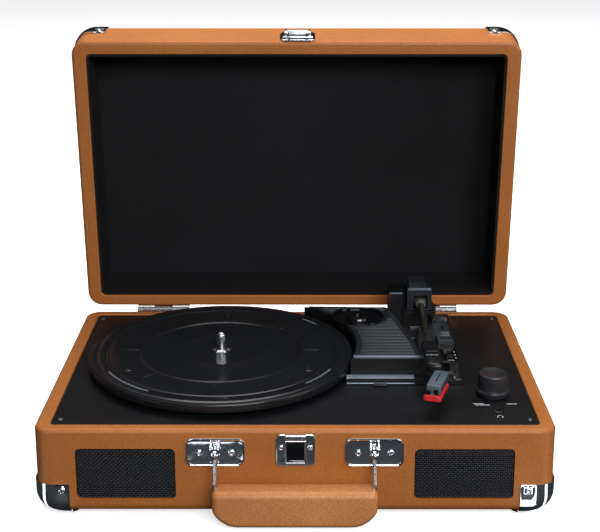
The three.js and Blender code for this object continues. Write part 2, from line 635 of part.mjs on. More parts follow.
const LID_RIMS = [LID_RIM_SIDE, LID_RIM_FRONT, LID_RIM_BACK];
addToLid('lid_shell', cut(
  caseForm(LID_Z, LID_TOP, true),
  slab(innerOutline(...LID_RIMS, 4), LID_Z - 1, LID_TOP - LID_TOP_T),
), TAN);
addToLid('lid_liner', cut(
  slab(innerOutline(...LID_RIMS, 4 - GAP, GAP), LID_Z + 1, LID_TOP - LID_TOP_T - GAP),
  slab(innerOutline(...LID_RIMS, 2.4, GAP + LINER_T), LID_Z - 1, LID_TOP - LID_TOP_T - GAP - LINER_T),
), BLACK_LINER);
for (const [side, x] of SIDES) {
  addToLid(`lid_hinge_leaf_${side}`, lidLeaf(x * HINGE_X), STEEL);
  for (const [end, y] of ENDS) {
    addToLid(`lid_corner_${end}_${side}`, cornerCap(x, y, LID_Z, LID_TOP, true), CHROME);
  }
}

// Latch: a plate on the lid holds the pin, and the hasp swings on it
const LATCH_X = 0.8;
const LATCH_PIN_Y = FRONT - 3.6;
const LATCH_PIN_Z = LID_Z + 15;
const latchBack = FRONT - GAP;
function latchPlate() {
  const body = plate(roundRect(28, 24.6, 4, LATCH_X, LID_Z + 12.9), latchBack - 1, latchBack);
  const ears = [-1, 1].map((side) => {
    const span = [LATCH_X + side * 8.6, LATCH_X + side * 10.4].sort((a, b) => a - b);
    return box(span, [LATCH_PIN_Y - 2, latchBack - 0.8], [LATCH_PIN_Z - 2, LATCH_PIN_Z + 2]);
  });
  const pin = xRod(0.9, LATCH_X - 10, LATCH_X + 10, LATCH_PIN_Y, LATCH_PIN_Z, 12);
  return join(body, ...ears, pin);
}
function latchHasp() {
  const y = [LATCH_PIN_Y - 0.8, LATCH_PIN_Y + 0.7];
  const blade = box([LATCH_X - 8.2, LATCH_X + 8.2], y, [LID_Z - 2.2, LATCH_PIN_Z]);
  const barrel = xRod(1.9, LATCH_X - 8.2, LATCH_X + 8.2, LATCH_PIN_Y, LATCH_PIN_Z, 12);
  const foot = box([LATCH_X - 12, LATCH_X + 12], y, [LID_Z - 2.2, LID_Z + 1.6]);
  const windowY = [LATCH_PIN_Y - 4, LATCH_PIN_Y + 4];
  const window = box([LATCH_X - 6, LATCH_X + 6], windowY, [LID_Z + 2.4, LID_Z + 8]);
  const bore = xRod(1.2, LATCH_X - 20, LATCH_X + 20, LATCH_PIN_Y, LATCH_PIN_Z, 12);
  return cut(join(blade, barrel, foot), window, bore);
}
addToLid('lid_latch_plate', latchPlate(), CHROME);
addToLid('latch_hasp', latchHasp(), CHROME);

export default scene;
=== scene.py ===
"""Looks of the suitcase record player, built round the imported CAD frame. Lengths are millimetres until
they reach a mesh. Lid pieces are modelled for the closed case and then turned open on the hinge."""
import bmesh
import bpy
import json
from math import asin, cos, degrees, hypot, pi, radians, sin, sqrt
from mathutils import Matrix, Vector


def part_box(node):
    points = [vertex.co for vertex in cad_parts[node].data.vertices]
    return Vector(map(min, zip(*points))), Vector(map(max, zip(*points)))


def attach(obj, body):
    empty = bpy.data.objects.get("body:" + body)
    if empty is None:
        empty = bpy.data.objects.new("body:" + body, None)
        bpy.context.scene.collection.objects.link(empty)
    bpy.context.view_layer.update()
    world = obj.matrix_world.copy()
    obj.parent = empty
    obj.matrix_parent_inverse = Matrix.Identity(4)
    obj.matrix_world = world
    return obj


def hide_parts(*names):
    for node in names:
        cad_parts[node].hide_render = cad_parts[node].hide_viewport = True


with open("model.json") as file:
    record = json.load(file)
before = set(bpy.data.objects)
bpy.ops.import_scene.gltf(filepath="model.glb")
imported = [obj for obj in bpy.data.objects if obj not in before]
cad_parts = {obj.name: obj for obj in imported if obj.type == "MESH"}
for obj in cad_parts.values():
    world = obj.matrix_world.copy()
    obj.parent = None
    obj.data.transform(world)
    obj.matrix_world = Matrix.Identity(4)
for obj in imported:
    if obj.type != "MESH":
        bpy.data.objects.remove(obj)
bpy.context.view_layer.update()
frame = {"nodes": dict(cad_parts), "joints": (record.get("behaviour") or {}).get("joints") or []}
MM = 0.001


def node_box(node):
    lo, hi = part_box(node)
    return lo / MM, hi / MM


case_hi = node_box("base_shell")[1]
HALF_W, HALF_D, BASE_H = case_hi.x, case_hi.y, case_hi.z
FRONT, BACK = -HALF_D, HALF_D
SEAM = 0.4
LID_Z = BASE_H + SEAM
LID_DEPTH = 48
LID_TOP = LID_Z + LID_DEPTH
CORNER_R, RIM_R, END_R, LONG_R, INNER_R = 12, 3, 14, 7, 4
joints = {j["name"]: j for j in frame["joints"]}
lid_joint = joints["lid_hinge"]
HINGE = Vector(lid_joint["pos_m"])
LID_OPEN = radians(83)
LID_MATRIX = (Matrix.Translation(HINGE) @ Matrix.Rotation(-LID_OPEN, 4, "X")
              @ Matrix.Translation(-HINGE))


# ---- materials

def base_material(name, color, rough, metal=0, **sockets):
    mat = bpy.data.materials.new(name)
    mat.use_nodes = True
    tree = mat.node_tree
    bsdf = tree.nodes["Principled BSDF"]
    bsdf.inputs["Base Color"].default_value = (*color, 1)
    bsdf.inputs["Roughness"].default_value = rough
    bsdf.inputs["Metallic"].default_value = metal
    for key, value in sockets.items():
        bsdf.inputs[key.replace("_", " ")].default_value = value
    return mat, tree, bsdf


def texture(tree, kind, scale, stretch=(1, 1, 1), **settings):
    """The value of a texture read in object space; scale is per metre."""
    coord = tree.nodes.new("ShaderNodeTexCoord")
    mapping = tree.nodes.new("ShaderNodeMapping")
    mapping.inputs["Scale"].default_value = stretch
    tree.links.new(coord.outputs["Object"], mapping.inputs["Vector"])
    tex = tree.nodes.new("ShaderNodeTex" + kind)
    for key, value in settings.items():
        if key in tex.inputs:
            tex.inputs[key].default_value = value
        else:
            setattr(tex, key, value)
    tex.inputs["Scale"].default_value = scale
    tree.links.new(mapping.outputs["Vector"], tex.inputs["Vector"])
    return tex.outputs[0]


def mapped(tree, source, lo, hi, from_lo=0.3, from_hi=0.7):
    node = tree.nodes.new("ShaderNodeMapRange")
    for key, value in zip(("From Min", "From Max", "To Min", "To Max"), (from_lo, from_hi, lo, hi)):
        node.inputs[key].default_value = value
    tree.links.new(source, node.inputs["Value"])
    return node.outputs["Result"]


def mixed(tree, factor, a, b):
    node = tree.nodes.new("ShaderNodeMix")
    node.data_type = "RGBA"
    for key, value in (("Factor", factor), (6, a), (7, b)):
        if isinstance(value, bpy.types.NodeSocket):
            tree.links.new(value, node.inputs[key])
        elif isinstance(value, tuple):
            node.inputs[key].default_value = (*value, 1)
        else:
            node.inputs[key].default_value = value
    return node.outputs[2]


def bump(tree, bsdf, height, strength, depth, below=None):
    node = tree.nodes.new("ShaderNodeBump")
    node.inputs["Strength"].default_value = strength
    node.inputs["Distance"].default_value = depth * MM
    tree.links.new(height, node.inputs["Height"])
    if below:
        tree.links.new(below.outputs["Normal"], node.inputs["Normal"])
    tree.links.new(node.outputs["Normal"], bsdf.inputs["Normal"])
    return node


def feed(tree, bsdf, tone, gloss):
    tree.links.new(tone, bsdf.inputs["Base Color"])
    tree.links.new(gloss, bsdf.inputs["Roughness"])


def times(color, k):
    return tuple(c * k for c in color)


def surface(name, color, rough, grain=1200, depth=0.03, metal=0, vary=0.15, drift=30, rough_vary=0.08,
            strength=0.5, stretch=(1, 1, 1), **sockets):
    """A moulded or metal surface: slow colour and gloss drift, smudges, and a fine grain."""
    mat, tree, bsdf = base_material(name, color, rough, metal, **sockets)
    slow = texture(tree, "Noise", drift, Detail=4)
    smudge = texture(tree, "Noise", drift * 5, Detail=6, Distortion=0.6)
    fine = texture(tree, "Noise", grain, stretch, Detail=3)
    tone = mixed(tree, mapped(tree, slow, 0, 1), times(color, 1 - vary), times(color, 1 + vary))
    feed(tree, bsdf, tone, mapped(tree, smudge, rough - rough_vary, rough + rough_vary))
    bump(tree, bsdf, fine, strength, depth)
    return mat


def leatherette(name, light, dark, pebble=950, depth=0.12, crease=None):
    """Embossed tan leather cloth: rounded pebbles with painted shade in the valleys between them, rubbed
    lighter patches.
    """
    mat, tree, bsdf = base_material(name, light, 0.42, Specular_IOR_Level=0.38)
    slow = texture(tree, "Noise", 14, Detail=5, Roughness=0.6)
    blotch = texture(tree, "Noise", 160, Detail=4)
    cells = texture(tree, "Voronoi", pebble, feature="SMOOTH_F1", Smoothness=0.35)
    pores = texture(tree, "Noise", pebble * 2.3, Detail=2)
    tone = mixed(tree, mapped(tree, slow, 0.1, 0.9), dark, light)
    tone = mixed(tree, mapped(tree, blotch, 0, 0.18), tone, times(dark, 0.8))
    # Painted shade: the valleys between the pebbles are darkened.
    tone = mixed(tree, mapped(tree, cells, 0, 0.34, 0.35, 0.75), tone, times(dark, 0.5))
    feed(tree, bsdf, tone, mapped(tree, blotch, 0.4, 0.54))
    below = bump(tree, bsdf, pores, 0.35, depth * 0.4)
    if crease:
        folds = texture(tree, "Noise", 90, crease, Detail=5, Distortion=1.4)
        below = bump(tree, bsdf, folds, 0.5, 0.5, below)
    invert = mapped(tree, cells, 1, 0, 0, 1)
    bump(tree, bsdf, invert, 0.55, depth, below)
    return mat


def speckled(name, color, fleck_highlight, rough, grain=1100, amount=0.3, depth=0.1, cells_on=True):
    """A black grained sheet: fine pebbles and pale flecks, a painted highlight scattered at random."""
    mat, tree, bsdf = base_material(name, color, rough, Specular_IOR_Level=0.3)
    cells = texture(tree, "Voronoi", grain, feature="F1")
    slow = texture(tree, "Noise", 18, Detail=5)
    tiny = texture(tree, "Noise", grain * 1.7, Detail=2)
    # The pale flecks are a painted highlight.
    tone = mixed(tree, mapped(tree, tiny, 0, amount, 0.52, 0.72), color, fleck_highlight)
    tone = mixed(tree, mapped(tree, slow, 0, 0.5), tone, times(color, 0.6))
    feed(tree, bsdf, tone, mapped(tree, slow, rough - 0.08, rough + 0.1))
    height = cells if cells_on else tiny
    bump(tree, bsdf, height, 0.5, depth)
    return mat


LEATHER = leatherette("tan_leatherette", (0.49, 0.173, 0.04), (0.41, 0.134, 0.03))
GRIP = leatherette("tan_grip_leatherette", (0.66, 0.285, 0.105), (0.53, 0.2, 0.062), 700, 0.14,
                   (3.2, 1, 0.35))
DECK = speckled("deck_grain", (0.0036, 0.004, 0.0052), (0.045, 0.05, 0.06), 0.42, 1100, 0.36)
LINER = speckled("liner_cloth", (0.0036, 0.0037, 0.0055), (0.016, 0.016, 0.021), 0.8, 1600, 0.25,
                 0.06, False)
PLASTIC = surface("black_plastic", (0.0052, 0.0055, 0.0066), 0.36, 1500, Specular_IOR_Level=0.4)
PLATTER = surface("platter_black", (0.0085, 0.0095, 0.0115), 0.24, 2200, 0.004, vary=0.06,
                  rough_vary=0.025)
# Pale grey of the platter arcs: a painted reflection.
ARC_REFLECTION_GREY = surface("platter_arc_painted_reflection", (0.11, 0.125, 0.145), 0.35, 1800, 0.01)
GREY = surface("mechanism_grey", (0.011, 0.014, 0.018), 0.34, 1300, 0.04)
BLOCK = surface("block_grey", (0.022, 0.026, 0.03), 0.38, 1300, 0.04)
RIB = surface("ribbed_grey", (0.013, 0.017, 0.022), 0.36, 1500)
# The ledge's own silver grey; on the cover lip and the head shell line it is a painted highlight.
LEDGE_AND_HIGHLIGHT = surface("ledge_silver_grey_and_painted_highlight", (0.19, 0.22, 0.26), 0.35, 1400, 0.02, metal=0.3)
GLOSS = surface("gloss_black", (0.004, 0.004, 0.005), 0.1, 700, 0.005, rough_vary=0.05)
CHROME = surface("chrome", (0.80, 0.83, 0.87), 0.075, 220, 0.05, metal=1, vary=0.04, drift=60,
                 strength=0.35, rough_vary=0.035)
STEEL = surface("steel", (0.55, 0.57, 0.6), 0.28, 500, metal=1, vary=0.1, drift=80, stretch=(8, 1, 1))
ROD = surface("rod_steel", (0.66, 0.68, 0.7), 0.2, 900, 0.006, metal=1, vary=0.05, drift=60)
KNOB = surface("knob_metal", (0.022, 0.024, 0.029), 0.34, 1600, 0.01, metal=0.15, vary=0.08, drift=120)
BRASS = surface("brass", (0.62, 0.42, 0.14), 0.25, 700, metal=1, vary=0.1, drift=120)
RUBBER = surface("rubber", (0.014, 0.014, 0.014), 0.75, 900, 0.06)
WIRE = surface("grille_wire", (0.011, 0.013, 0.017), 0.4, 2500, 0.02, Specular_IOR_Level=0.5)
CLOTH = surface("grille_backing", (0.004, 0.004, 0.0045), 0.9, 2500, 0.05)
PAPER = surface("speaker_paper", (0.02, 0.02, 0.021), 0.9, 900, 0.08)
CARTRIDGE = surface("cartridge_grey", (0.085, 0.108, 0.13), 0.34, 1500, 0.02)
RED = surface("stylus_red", (0.6, 0.022, 0.028), 0.28, 900, 0.02, Subsurface_Weight=0.1)
BOARD = surface("board_green", (0.03, 0.1, 0.045), 0.5, 500, 0.05)
PRINT = surface("white_print", (0.62, 0.63, 0.64), 0.6, 2500, 0.01)
# Trim grey; on the turret and side cover bands it is a painted edge highlight.
TRIM_AND_HIGHLIGHT = surface("trim_grey_and_painted_edge_highlight", (0.1, 0.12, 0.145), 0.3, 1400, 0.02, metal=0.2)
TUBE = surface("arm_tube", (0.018, 0.019, 0.013), 0.28, 2200, 0.004, vary=0.05, rough_vary=0.03)
COLLAR = surface("collar_grey", (0.075, 0.077, 0.062), 0.42)
DARK_SCREW = surface("dark_screw", (0.12, 0.12, 0.13), 0.35, metal=0.9)

# The floor is pale and faintly lit to the camera, and dark to reflections and bounced light
PALE, DIM = (0.86, 0.86, 0.86), (0.009, 0.0115, 0.015)
FLOOR, floor_tree, floor_bsdf = base_material("floor_paper", PALE, 0.95)
fibres = texture(floor_tree, "Noise", 300, Detail=3)
bump(floor_tree, floor_bsdf, fibres, 0.3, 0.01)
seen = floor_tree.nodes.new("ShaderNodeLightPath").outputs["Is Camera Ray"]
floor_tree.links.new(mixed(floor_tree, seen, DIM, PALE), floor_bsdf.inputs["Base Color"])
floor_bsdf.inputs["Emission Color"].default_value = (1, 1, 1, 1)
floor_tree.links.new(mapped(floor_tree, seen, 0, 0.62, 0, 1), floor_bsdf.inputs["Emission Strength"])


# ---- mesh helpers

def join(*parts):
    verts, faces = [], []
    for v, f in parts:
        base = len(verts)
        verts += [tuple(p) for p in v]
        faces += [tuple(i + base for i in face) for face in f]
    return verts, faces


def placed(part, matrix):
    return [tuple(matrix @ Vector(v)) for v in part[0]], part[1]


def reflected(part, move):
    """The part with its points sent through a reflection and its faces turned to match."""
    return [move(*p) for p in part[0]], [tuple(reversed(f)) for f in part[1]]


def loft(rings, closed=False, caps=(True, True), loop=True):
    """Faces between rings of equal length. A closed loft joins its last ring to its first."""
    n = len(rings[0])
    verts = [p for ring in rings for p in ring]
    faces = []
    for k in range(len(rings) if closed else len(rings) - 1):
        a, b = k * n, ((k + 1) % len(rings)) * n
        for i in range(n if loop else n - 1):
            j = (i + 1) % n
            faces.append((a + i, a + j, b + j, b + i))
    if not closed and caps[0]:
        faces.append(tuple(range(n))[::-1])
    if not closed and caps[1]:
        faces.append(tuple(range((len(rings) - 1) * n, len(rings) * n)))
    return verts, faces


def arc(cx, cy, r, a0, a1, n):
    angles = [radians(a0 + (a1 - a0) * i / n) for i in range(n + 1)]
    return [(cx + r * cos(a), cy + r * sin(a)) for a in angles]


def rounded(x0, x1, y0, y1, r, n=6):
    """A rectangle outline with round corners, anticlockwise."""
    r = max(min(r, (x1 - x0) / 2 - 0.01, (y1 - y0) / 2 - 0.01), 0.01)
    return (arc(x1 - r, y0 + r, r, -90, 0, n) + arc(x1 - r, y1 - r, r, 0, 90, n)
            + arc(x0 + r, y1 - r, r, 90, 180, n) + arc(x0 + r, y0 + r, r, 180, 270, n))


def inset(outline, d):
    """The outline of a convex or gentle shape moved inward by d."""
    result = []
    n = len(outline)
    for i, (x, y) in enumerate(outline):
        (ax, ay), (bx, by) = outline[i - 1], outline[(i + 1) % n]
        tx, ty = bx - ax, by - ay
        length = hypot(tx, ty) or 1
        result.append((x - ty / length * d, y + tx / length * d))
    return result


def on_plane(outline, level, axis="z"):
    if axis == "z":
        return [(a, b, level) for a, b in outline]
    if axis == "y":
        return [(a, level, b) for a, b in outline]
    return [(level, a, b) for a, b in outline]


def slab(outline, lo, hi, axis="z"):
    return loft([on_plane(outline, lo, axis), on_plane(outline, hi, axis)])


def pillow_slab(outline, lo, hi, edge, axis="z", both=True):
    """A slab whose rims are rounded over by edge."""
    quarter = [pi / 2 * i / 3 for i in range(4)]
    low = [(edge * (1 - sin(a)), lo + edge * (1 - cos(a))) for a in quarter]
    high = [(edge * (1 - sin(a)), hi - edge * (1 - cos(a))) for a in reversed(quarter)]
    steps = (low if both else [(0, lo)]) + high
    return loft([on_plane(inset(outline, d), level, axis) for d, level in steps])


def box(x, y, z, edge=0.5):
    return pillow_slab(rounded(*x, *y, edge * 1.2, 3), *z, edge)


def lathe(profile, cx=0, cy=0, n=48, wave=None):
    """[radius, height] points turned about Z; a radius of 0 closes an end."""
    rings = []
    for r, z in profile:
        ring = []
        for i in range(n):
            a = 2 * pi * i / n
            far = max(r + (wave(a, z) if wave and r else 0), 0.001)
            ring.append((cx + far * cos(a), cy + far * sin(a), z))
        rings.append(ring)
    return loft(rings)


def along(direction, at=(0, 0, 0)):
    """A matrix that stands a Z-up part up along a direction, at a place."""
    turn = Vector((0, 0, 1)).rotation_difference(Vector(direction)).to_matrix().to_4x4()
    return Matrix.Translation(at) @ turn


def hub(bore, radius, half, cut_r, cut_z, n):
    """A sleeve about Z with chamfered ends."""
    side = [[bore, -half], [radius - cut_r, -half], [radius, cut_z - half]]
    return lathe(side + [[r, -z] for r, z in side[::-1]] + side[:1], n=n)


def across(part, at):
    """A Z-up part laid along X at a place."""
    return placed(part, along((1, 0, 0), at))


def sweep(points, radius, sides=10, squash=1):
    points = [Vector(p) for p in points]
    rings = []
    side = None
    for i, p in enumerate(points):
        t = (points[min(i + 1, len(points) - 1)] - points[max(i - 1, 0)]).normalized()
        if side is None:
            side = t.cross(Vector((0, 0, 1)) if abs(t.z) < 0.9 else Vector((1, 0, 0))).normalized()
        side = (side - t * side.dot(t)).normalized()
        up = t.cross(side)
        r = radius(i / (len(points) - 1)) if callable(radius) else radius
        rings.append([p + (side * cos(a) + up * sin(a) * squash) * r
                      for a in (2 * pi * k / sides for k in range(sides))])
    return loft(rings)


def smooth_path(points, per=6):
    """A Catmull-Rom curve through the points."""
    pts = [Vector(p) for p in points]
    pts = [pts[0] * 2 - pts[1]] + pts + [pts[-1] * 2 - pts[-2]]
    result = []
    for i in range(1, len(pts) - 2):
        a, b, c, d = pts[i - 1:i + 3]
        for k in range(per):
            t = k / per
            result.append(0.5 * ((2 * b) + (c - a) * t + (2 * a - 5 * b + 4 * c - d) * t * t
                                 + (3 * b - a - 3 * c + d) * t ** 3))
    return result + [pts[-2]]


def screw(at, normal, radius=2.4, height=1, turn=20):
    """A domed head with a cross recess."""
    rings = []
    c, s = cos(radians(turn)), sin(radians(turn))
    count, sides = 9, 24
    for k in range(count):
        f = 1 - k / count
        ring = []
        for i in range(sides):
            a = 2 * pi * i / sides
            x, y = radius * f * cos(a), radius * f * sin(a)
            u, v = abs(x * c + y * s), abs(y * c - x * s)
            z = height * sqrt(max(1 - f * f, 0)) * 0.85 + 0.15 * height
            if min(u, v) < radius * 0.16 and max(u, v) < radius * 0.58:
                z -= height * 0.55
            ring.append((x, y, z))
        rings.append(ring)
    rings.insert(0, [(p[0], p[1], -0.4) for p in rings[0]])
    return placed(loft(rings), along(normal, at))


def solid_mesh(name, part, weld=False):
    """A mesh in metres with its faces turned outward."""
    mesh = bpy.data.meshes.new(name)
    mesh.from_pydata([(x * MM, y * MM, z * MM) for x, y, z in part[0]], [], part[1])
    work = bmesh.new()
    work.from_mesh(mesh)
    if weld:
        bmesh.ops.remove_doubles(work, verts=work.verts, dist=0.00001)
    bmesh.ops.recalc_face_normals(work, faces=work.faces)
    work.to_mesh(mesh)
    work.free()
    return mesh


def shade(mesh, sharp=38):
    mesh.shade_smooth()
    mesh.set_sharp_from_angle(angle=radians(sharp))


def linked(name, data):
    obj = bpy.data.objects.new(name, data)
    bpy.context.scene.collection.objects.link(obj)
    return obj


def piece(name, part, material, body, *, bevel=0, replaces=None, sharp=38, solid=0):
    """Makes the object with its material, ties it to its body and hides the CAD node it replaces."""
    mesh = solid_mesh(name, part, True)
    shade(mesh, sharp)
    obj = linked(name, mesh)
    mesh.materials.append(material)
    if body in ("lid", "hasp"):
        obj.matrix_world = LID_MATRIX
    if solid:
        thick = obj.modifiers.new("thickness", "SOLIDIFY")
        thick.thickness = solid * MM
        thick.offset = -1
    if bevel:
        soften(obj, bevel)
    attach(obj, body)
    if replaces:
        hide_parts(replaces)
    return obj


def soften(obj, width, steps=2, limit=40):
    edge = obj.modifiers.new("edges", "BEVEL")
    edge.width = width * MM
    edge.segments = steps
    edge.limit_method = "ANGLE"
    edge.angle_limit = radians(limit)
    edge.harden_normals = True
    even_shading(obj)


def even_shading(obj):
    obj.modifiers.new("even_shading", "WEIGHTED_NORMAL").keep_sharp = True


def carve(obj, *cutters):
    """Cuts closed parts out of a piece and keeps the result as its mesh."""
    tools = []
    for i, part in enumerate(cutters):
        tool = linked("cutter", solid_mesh("cutter", part))
        tool.matrix_world = obj.matrix_world
        hole = obj.modifiers.new(f"cut_{i}", "BOOLEAN")
        hole.operation = "DIFFERENCE"
        hole.solver = "EXACT"
        hole.object = tool
        tools.append(tool)
    bpy.context.view_layer.update()
    graph = bpy.context.evaluated_depsgraph_get()
    result = bpy.data.meshes.new_from_object(obj.evaluated_get(graph))
    obj.modifiers.clear()
    obj.data = result
    for tool in tools:
        bpy.data.objects.remove(tool)
    shade(result)


# ---- case walls

def shrink(r, t):
    return 0.0 if t >= r else r - sqrt(max(r * r - (r - t) ** 2, 0))


def case_section(z, z0, z1, at_top, off=0):
    """Half width, half depth and corner radius of the case form at one height."""
    closed = (z1 + off - z) if at_top else (z - z0 + off)
    rim = (z - z0 + off) if at_top else (z1 + off - z)
    w = HALF_W + off - max(shrink(END_R + off, closed), shrink(RIM_R + off, rim))
    d = HALF_D + off - max(shrink(LONG_R + off, closed), shrink(RIM_R + off, rim))
    return w, d, CORNER_R + off - shrink(RIM_R + off, rim)


def steps_up(r, n=7):
    return [r * (1 - cos(pi / 2 * i / n)) for i in range(n + 1)]


def inner_ring(side, front, back, z, extra=0):
    x = HALF_W - side - extra
    return on_plane(rounded(-x, x, FRONT + front + extra, BACK - back - extra, INNER_R, 10), z)


def wall_rings(z0, z1, at_top):
    """Rings up the outside of a case half, from its closed side to its rim."""
    closed = sorted(set(round(v, 4) for v in steps_up(END_R) + steps_up(LONG_R)))
    rim = [round(v, 4) for v in steps_up(RIM_R, 5)]
    if at_top:
        heights = [z1 - v for v in closed] + [z0 + v for v in reversed(rim)]
    else:
        heights = [z0 + v for v in closed] + [z1 - v for v in reversed(rim)]
    sections = [case_section(z, z0, z1, at_top) for z in heights]
    return [on_plane(rounded(-w, w, -d, d, r, 10), z) for z, (w, d, r) in zip(heights, sections)]


RIMS = (10.5, 9, 8.5)
DECK_Z, LEDGE_Z, FLOOR_T, WALL = 61, 57.7, 4.3, 2.5


def rim_in(rims, z, side):
    """The small round at the rim's inner edge, where the leather turns; side is the way in, +1 or -1."""
    small = 0.9
    turns = [radians(a) for a in (0, 30, 60, 90)]
    return [inner_ring(*rims, z + side * small * (1 - cos(t)), small * sin(t) - small)
            for t in turns]


base_rings = (wall_rings(0, BASE_H, False) + rim_in(RIMS, BASE_H, -1)
              + [inner_ring(*RIMS, LEDGE_Z), inner_ring(*RIMS, LEDGE_Z, WALL),
                 inner_ring(*RIMS, FLOOR_T, WALL), inner_ring(22, 14, 14, FLOOR_T),
                 inner_ring(22, 14, 14, 0)])
base_case = piece("base_leather_case", loft(base_rings, closed=True), LEATHER, "base",
                  replaces="base_shell")
GRILLES = [node_box(f"speaker_grille_{s}") for s in ("left", "right")]
windows = []
for lo, hi in GRILLES:
    outline = rounded(lo.x - 0.3, hi.x + 0.3, lo.z - 0.3, hi.z + 0.3, 3.5, 6)
    windows.append(slab(outline, FRONT - 3, FRONT + 18, "y"))
windows.append(slab(rounded(58.5, 121.5, 18, 38, 1, 3), BACK - 18, BACK + 3, "y"))
carve(base_case, *windows)
soften(base_case, 0.9, 3, 55)

LID_RIMS = (11.5, 10.5, 10)
CEILING = LID_TOP - 3.5
lid_rings = wall_rings(LID_Z, LID_TOP, True) + rim_in(LID_RIMS, LID_Z, 1)
lid_rings.append(inner_ring(*LID_RIMS, CEILING))
lid_case = piece("lid_leather_case", loft(lid_rings), LEATHER, "lid",
                 replaces="lid_shell")
soften(lid_case, 0.4, 2, 60)


# ---- corner protectors

CAP_GAP, CAP_T, CAP_SPAN, CAP_HIGH = 0.3, 1, 23.8, 22
SCREW_IN = 5.2
CAP_X, CAP_Y = HALF_W - CAP_SPAN, CAP_SPAN - HALF_D


def cap_path(w, d, r):
    """From the long wall round the corner to the end wall, corner at +x, -y."""
    straight = 14
    path = [(CAP_X + (w - r - CAP_X) * i / straight, -d) for i in range(straight)]
    path += arc(w - r, -d + r, r, -90, 0, 10)
    return path + [(w, -d + r + (CAP_Y + d - r) * (i + 1) / straight) for i in range(straight)]


def dish(d):
    """1 round a screw, falling smoothly to 0 at the edge of its dish."""
    f = max(0, 1 - max(abs(d - SCREW_IN) - 3.3, 0) / 1.3)
    return 3 * f ** 2 - 2 * f ** 3


def corner_cap():
    """A pressed cap on the front right lower corner; heights count up from the closed side."""
    off = CAP_GAP + CAP_T
    rings = []
    low = sorted(set(round(v, 3) for v in steps_up(END_R + off) + steps_up(LONG_R + off)))
    heights = [v - off for v in low] + [END_R + 1 + i for i in range(CAP_HIGH - END_R)]
    for z in heights:
        ring = []
        sink, reach = 0.9 * dish(CAP_HIGH - z), 12
        for x, y in cap_path(*case_section(z, 0, 200, False, off)):
            if y < 4 - HALF_D and x - CAP_X <= reach:
                y += sink * dish(x - CAP_X)
            if x > HALF_W - 4 and CAP_Y - y <= reach:
                x -= sink * dish(CAP_Y - y)
            ring.append((x, y, z))
        rings.append(ring)
    inner = [[(x + (CAP_X - x) * f, y + (CAP_Y - y) * f, z) for x, y, z in rings[0]]
             for f in (0.8, 0.6, 0.4, 0.2)]
    return loft(inner + rings, caps=(False, False), loop=False)


def cap_screws():
    z = CAP_HIGH - SCREW_IN
    skin = CAP_GAP + CAP_T - 0.75
    return join(screw((CAP_X + SCREW_IN, -HALF_D - skin, z), (0, -1, 0), 2.5, 1.3),
                screw((HALF_W + skin, CAP_Y - SCREW_IN, z), (1, 0, 0), 2.5, 1.3, 50))


def flipped(part, x, y):
    if x:
        part = reflected(part, lambda a, b, c: (-a, b, c))
    return reflected(part, lambda a, b, c: (a, -b, c)) if y else part


def upside_down(part):
    return reflected(part, lambda x, y, z: (x, y, LID_TOP - z))


for side in ("left", "right"):
    for end in ("front", "back"):
        turn = (side == "left", end == "back")
        cap, heads = flipped(corner_cap(), *turn), flipped(cap_screws(), *turn)
        for half in ("base", "lid"):
            if half == "lid":
                cap, heads = upside_down(cap), upside_down(heads)
            piece(f"{half}_cap_{end}_{side}", cap, CHROME, half, solid=CAP_T - 0.1, bevel=0.3,
                  replaces=f"{half}_corner_{end}_{side}")
            piece(f"{half}_cap_screws_{end}_{side}", heads, CHROME, half, sharp=50)


# ---- speaker grilles

def woven_grille(lo, hi):
    """Two sets of wires that pass over and under each other."""
    parts = []
    y, pitch = lo.y + 0.9, 1.5
    nx, nz = round((hi.x - lo.x) / pitch), round((hi.z - lo.z) / pitch)
    px, pz = (hi.x - lo.x) / nx, (hi.z - lo.z) / nz

    def inside(x, z):
        r = 3.2
        dx, dz = max(lo.x + r - x, x - hi.x + r, 0), max(lo.z + r - z, z - hi.z + r, 0)
        return dx * dx + dz * dz <= r * r

    for level, count, other in ((True, nz, nx), (False, nx, nz)):
        for k in range(count):
            path = []
            for m in range(2 * other + 1):
                a, b = (m / 2, k + 0.5) if level else (k + 0.5, m / 2)
                x, z = lo.x + px * a, lo.z + pz * b
                lift = 0.32 * sin(pi * m / 2) * (-1) ** (k if level else k + 1)
                if inside(x, z):
                    path.append((x, y + lift, z))
            if len(path) > 3:
                parts.append(sweep(path, 0.36, 5))
    return join(*parts)


for side, (lo, hi) in zip(("left", "right"), GRILLES):
    piece(f"grille_weave_{side}", woven_grille(lo, hi), WIRE, "base",
          replaces=f"speaker_grille_{side}", sharp=180)
    backing = rounded(lo.x, hi.x, lo.z, hi.z, 3.2)
    piece(f"grille_backing_{side}", pillow_slab(backing, lo.y + 1.5, hi.y, 0.3, "y"), CLOTH, "base")


# ---- handle and front hardware

PIVOT = Vector(joints["handle_swing"]["pos_m"]) / MM
grip_lo, grip_hi = node_box("handle_grip")
GRIP_Y = (grip_lo.y + grip_hi.y) / 2
HANDLE_X = 54


def grip_outline():
    w, low, top = grip_hi.x, grip_lo.z, grip_hi.z
    points = arc(w - 4.5, top - 4.5, 4.5, 0, 90, 8) + arc(-w + 4.5, top - 4.5, 4.5, 90, 180, 8)
    lower = [(-w, low + 15), (-w + 0.8, low + 10.6), (-w + 3.6, low + 6.4), (-w + 8, low + 2.8),
             (-w + 12.5, low + 0.7), (-w + 18, low)]
    left = [tuple(p)[::2] for p in smooth_path([(x, 0, z) for x, z in lower], 4)]
    return points + left + [(x, low) for x in (-24, -12, 0, 12, 24)] + [(-x, z) for x, z in left[::-1]]


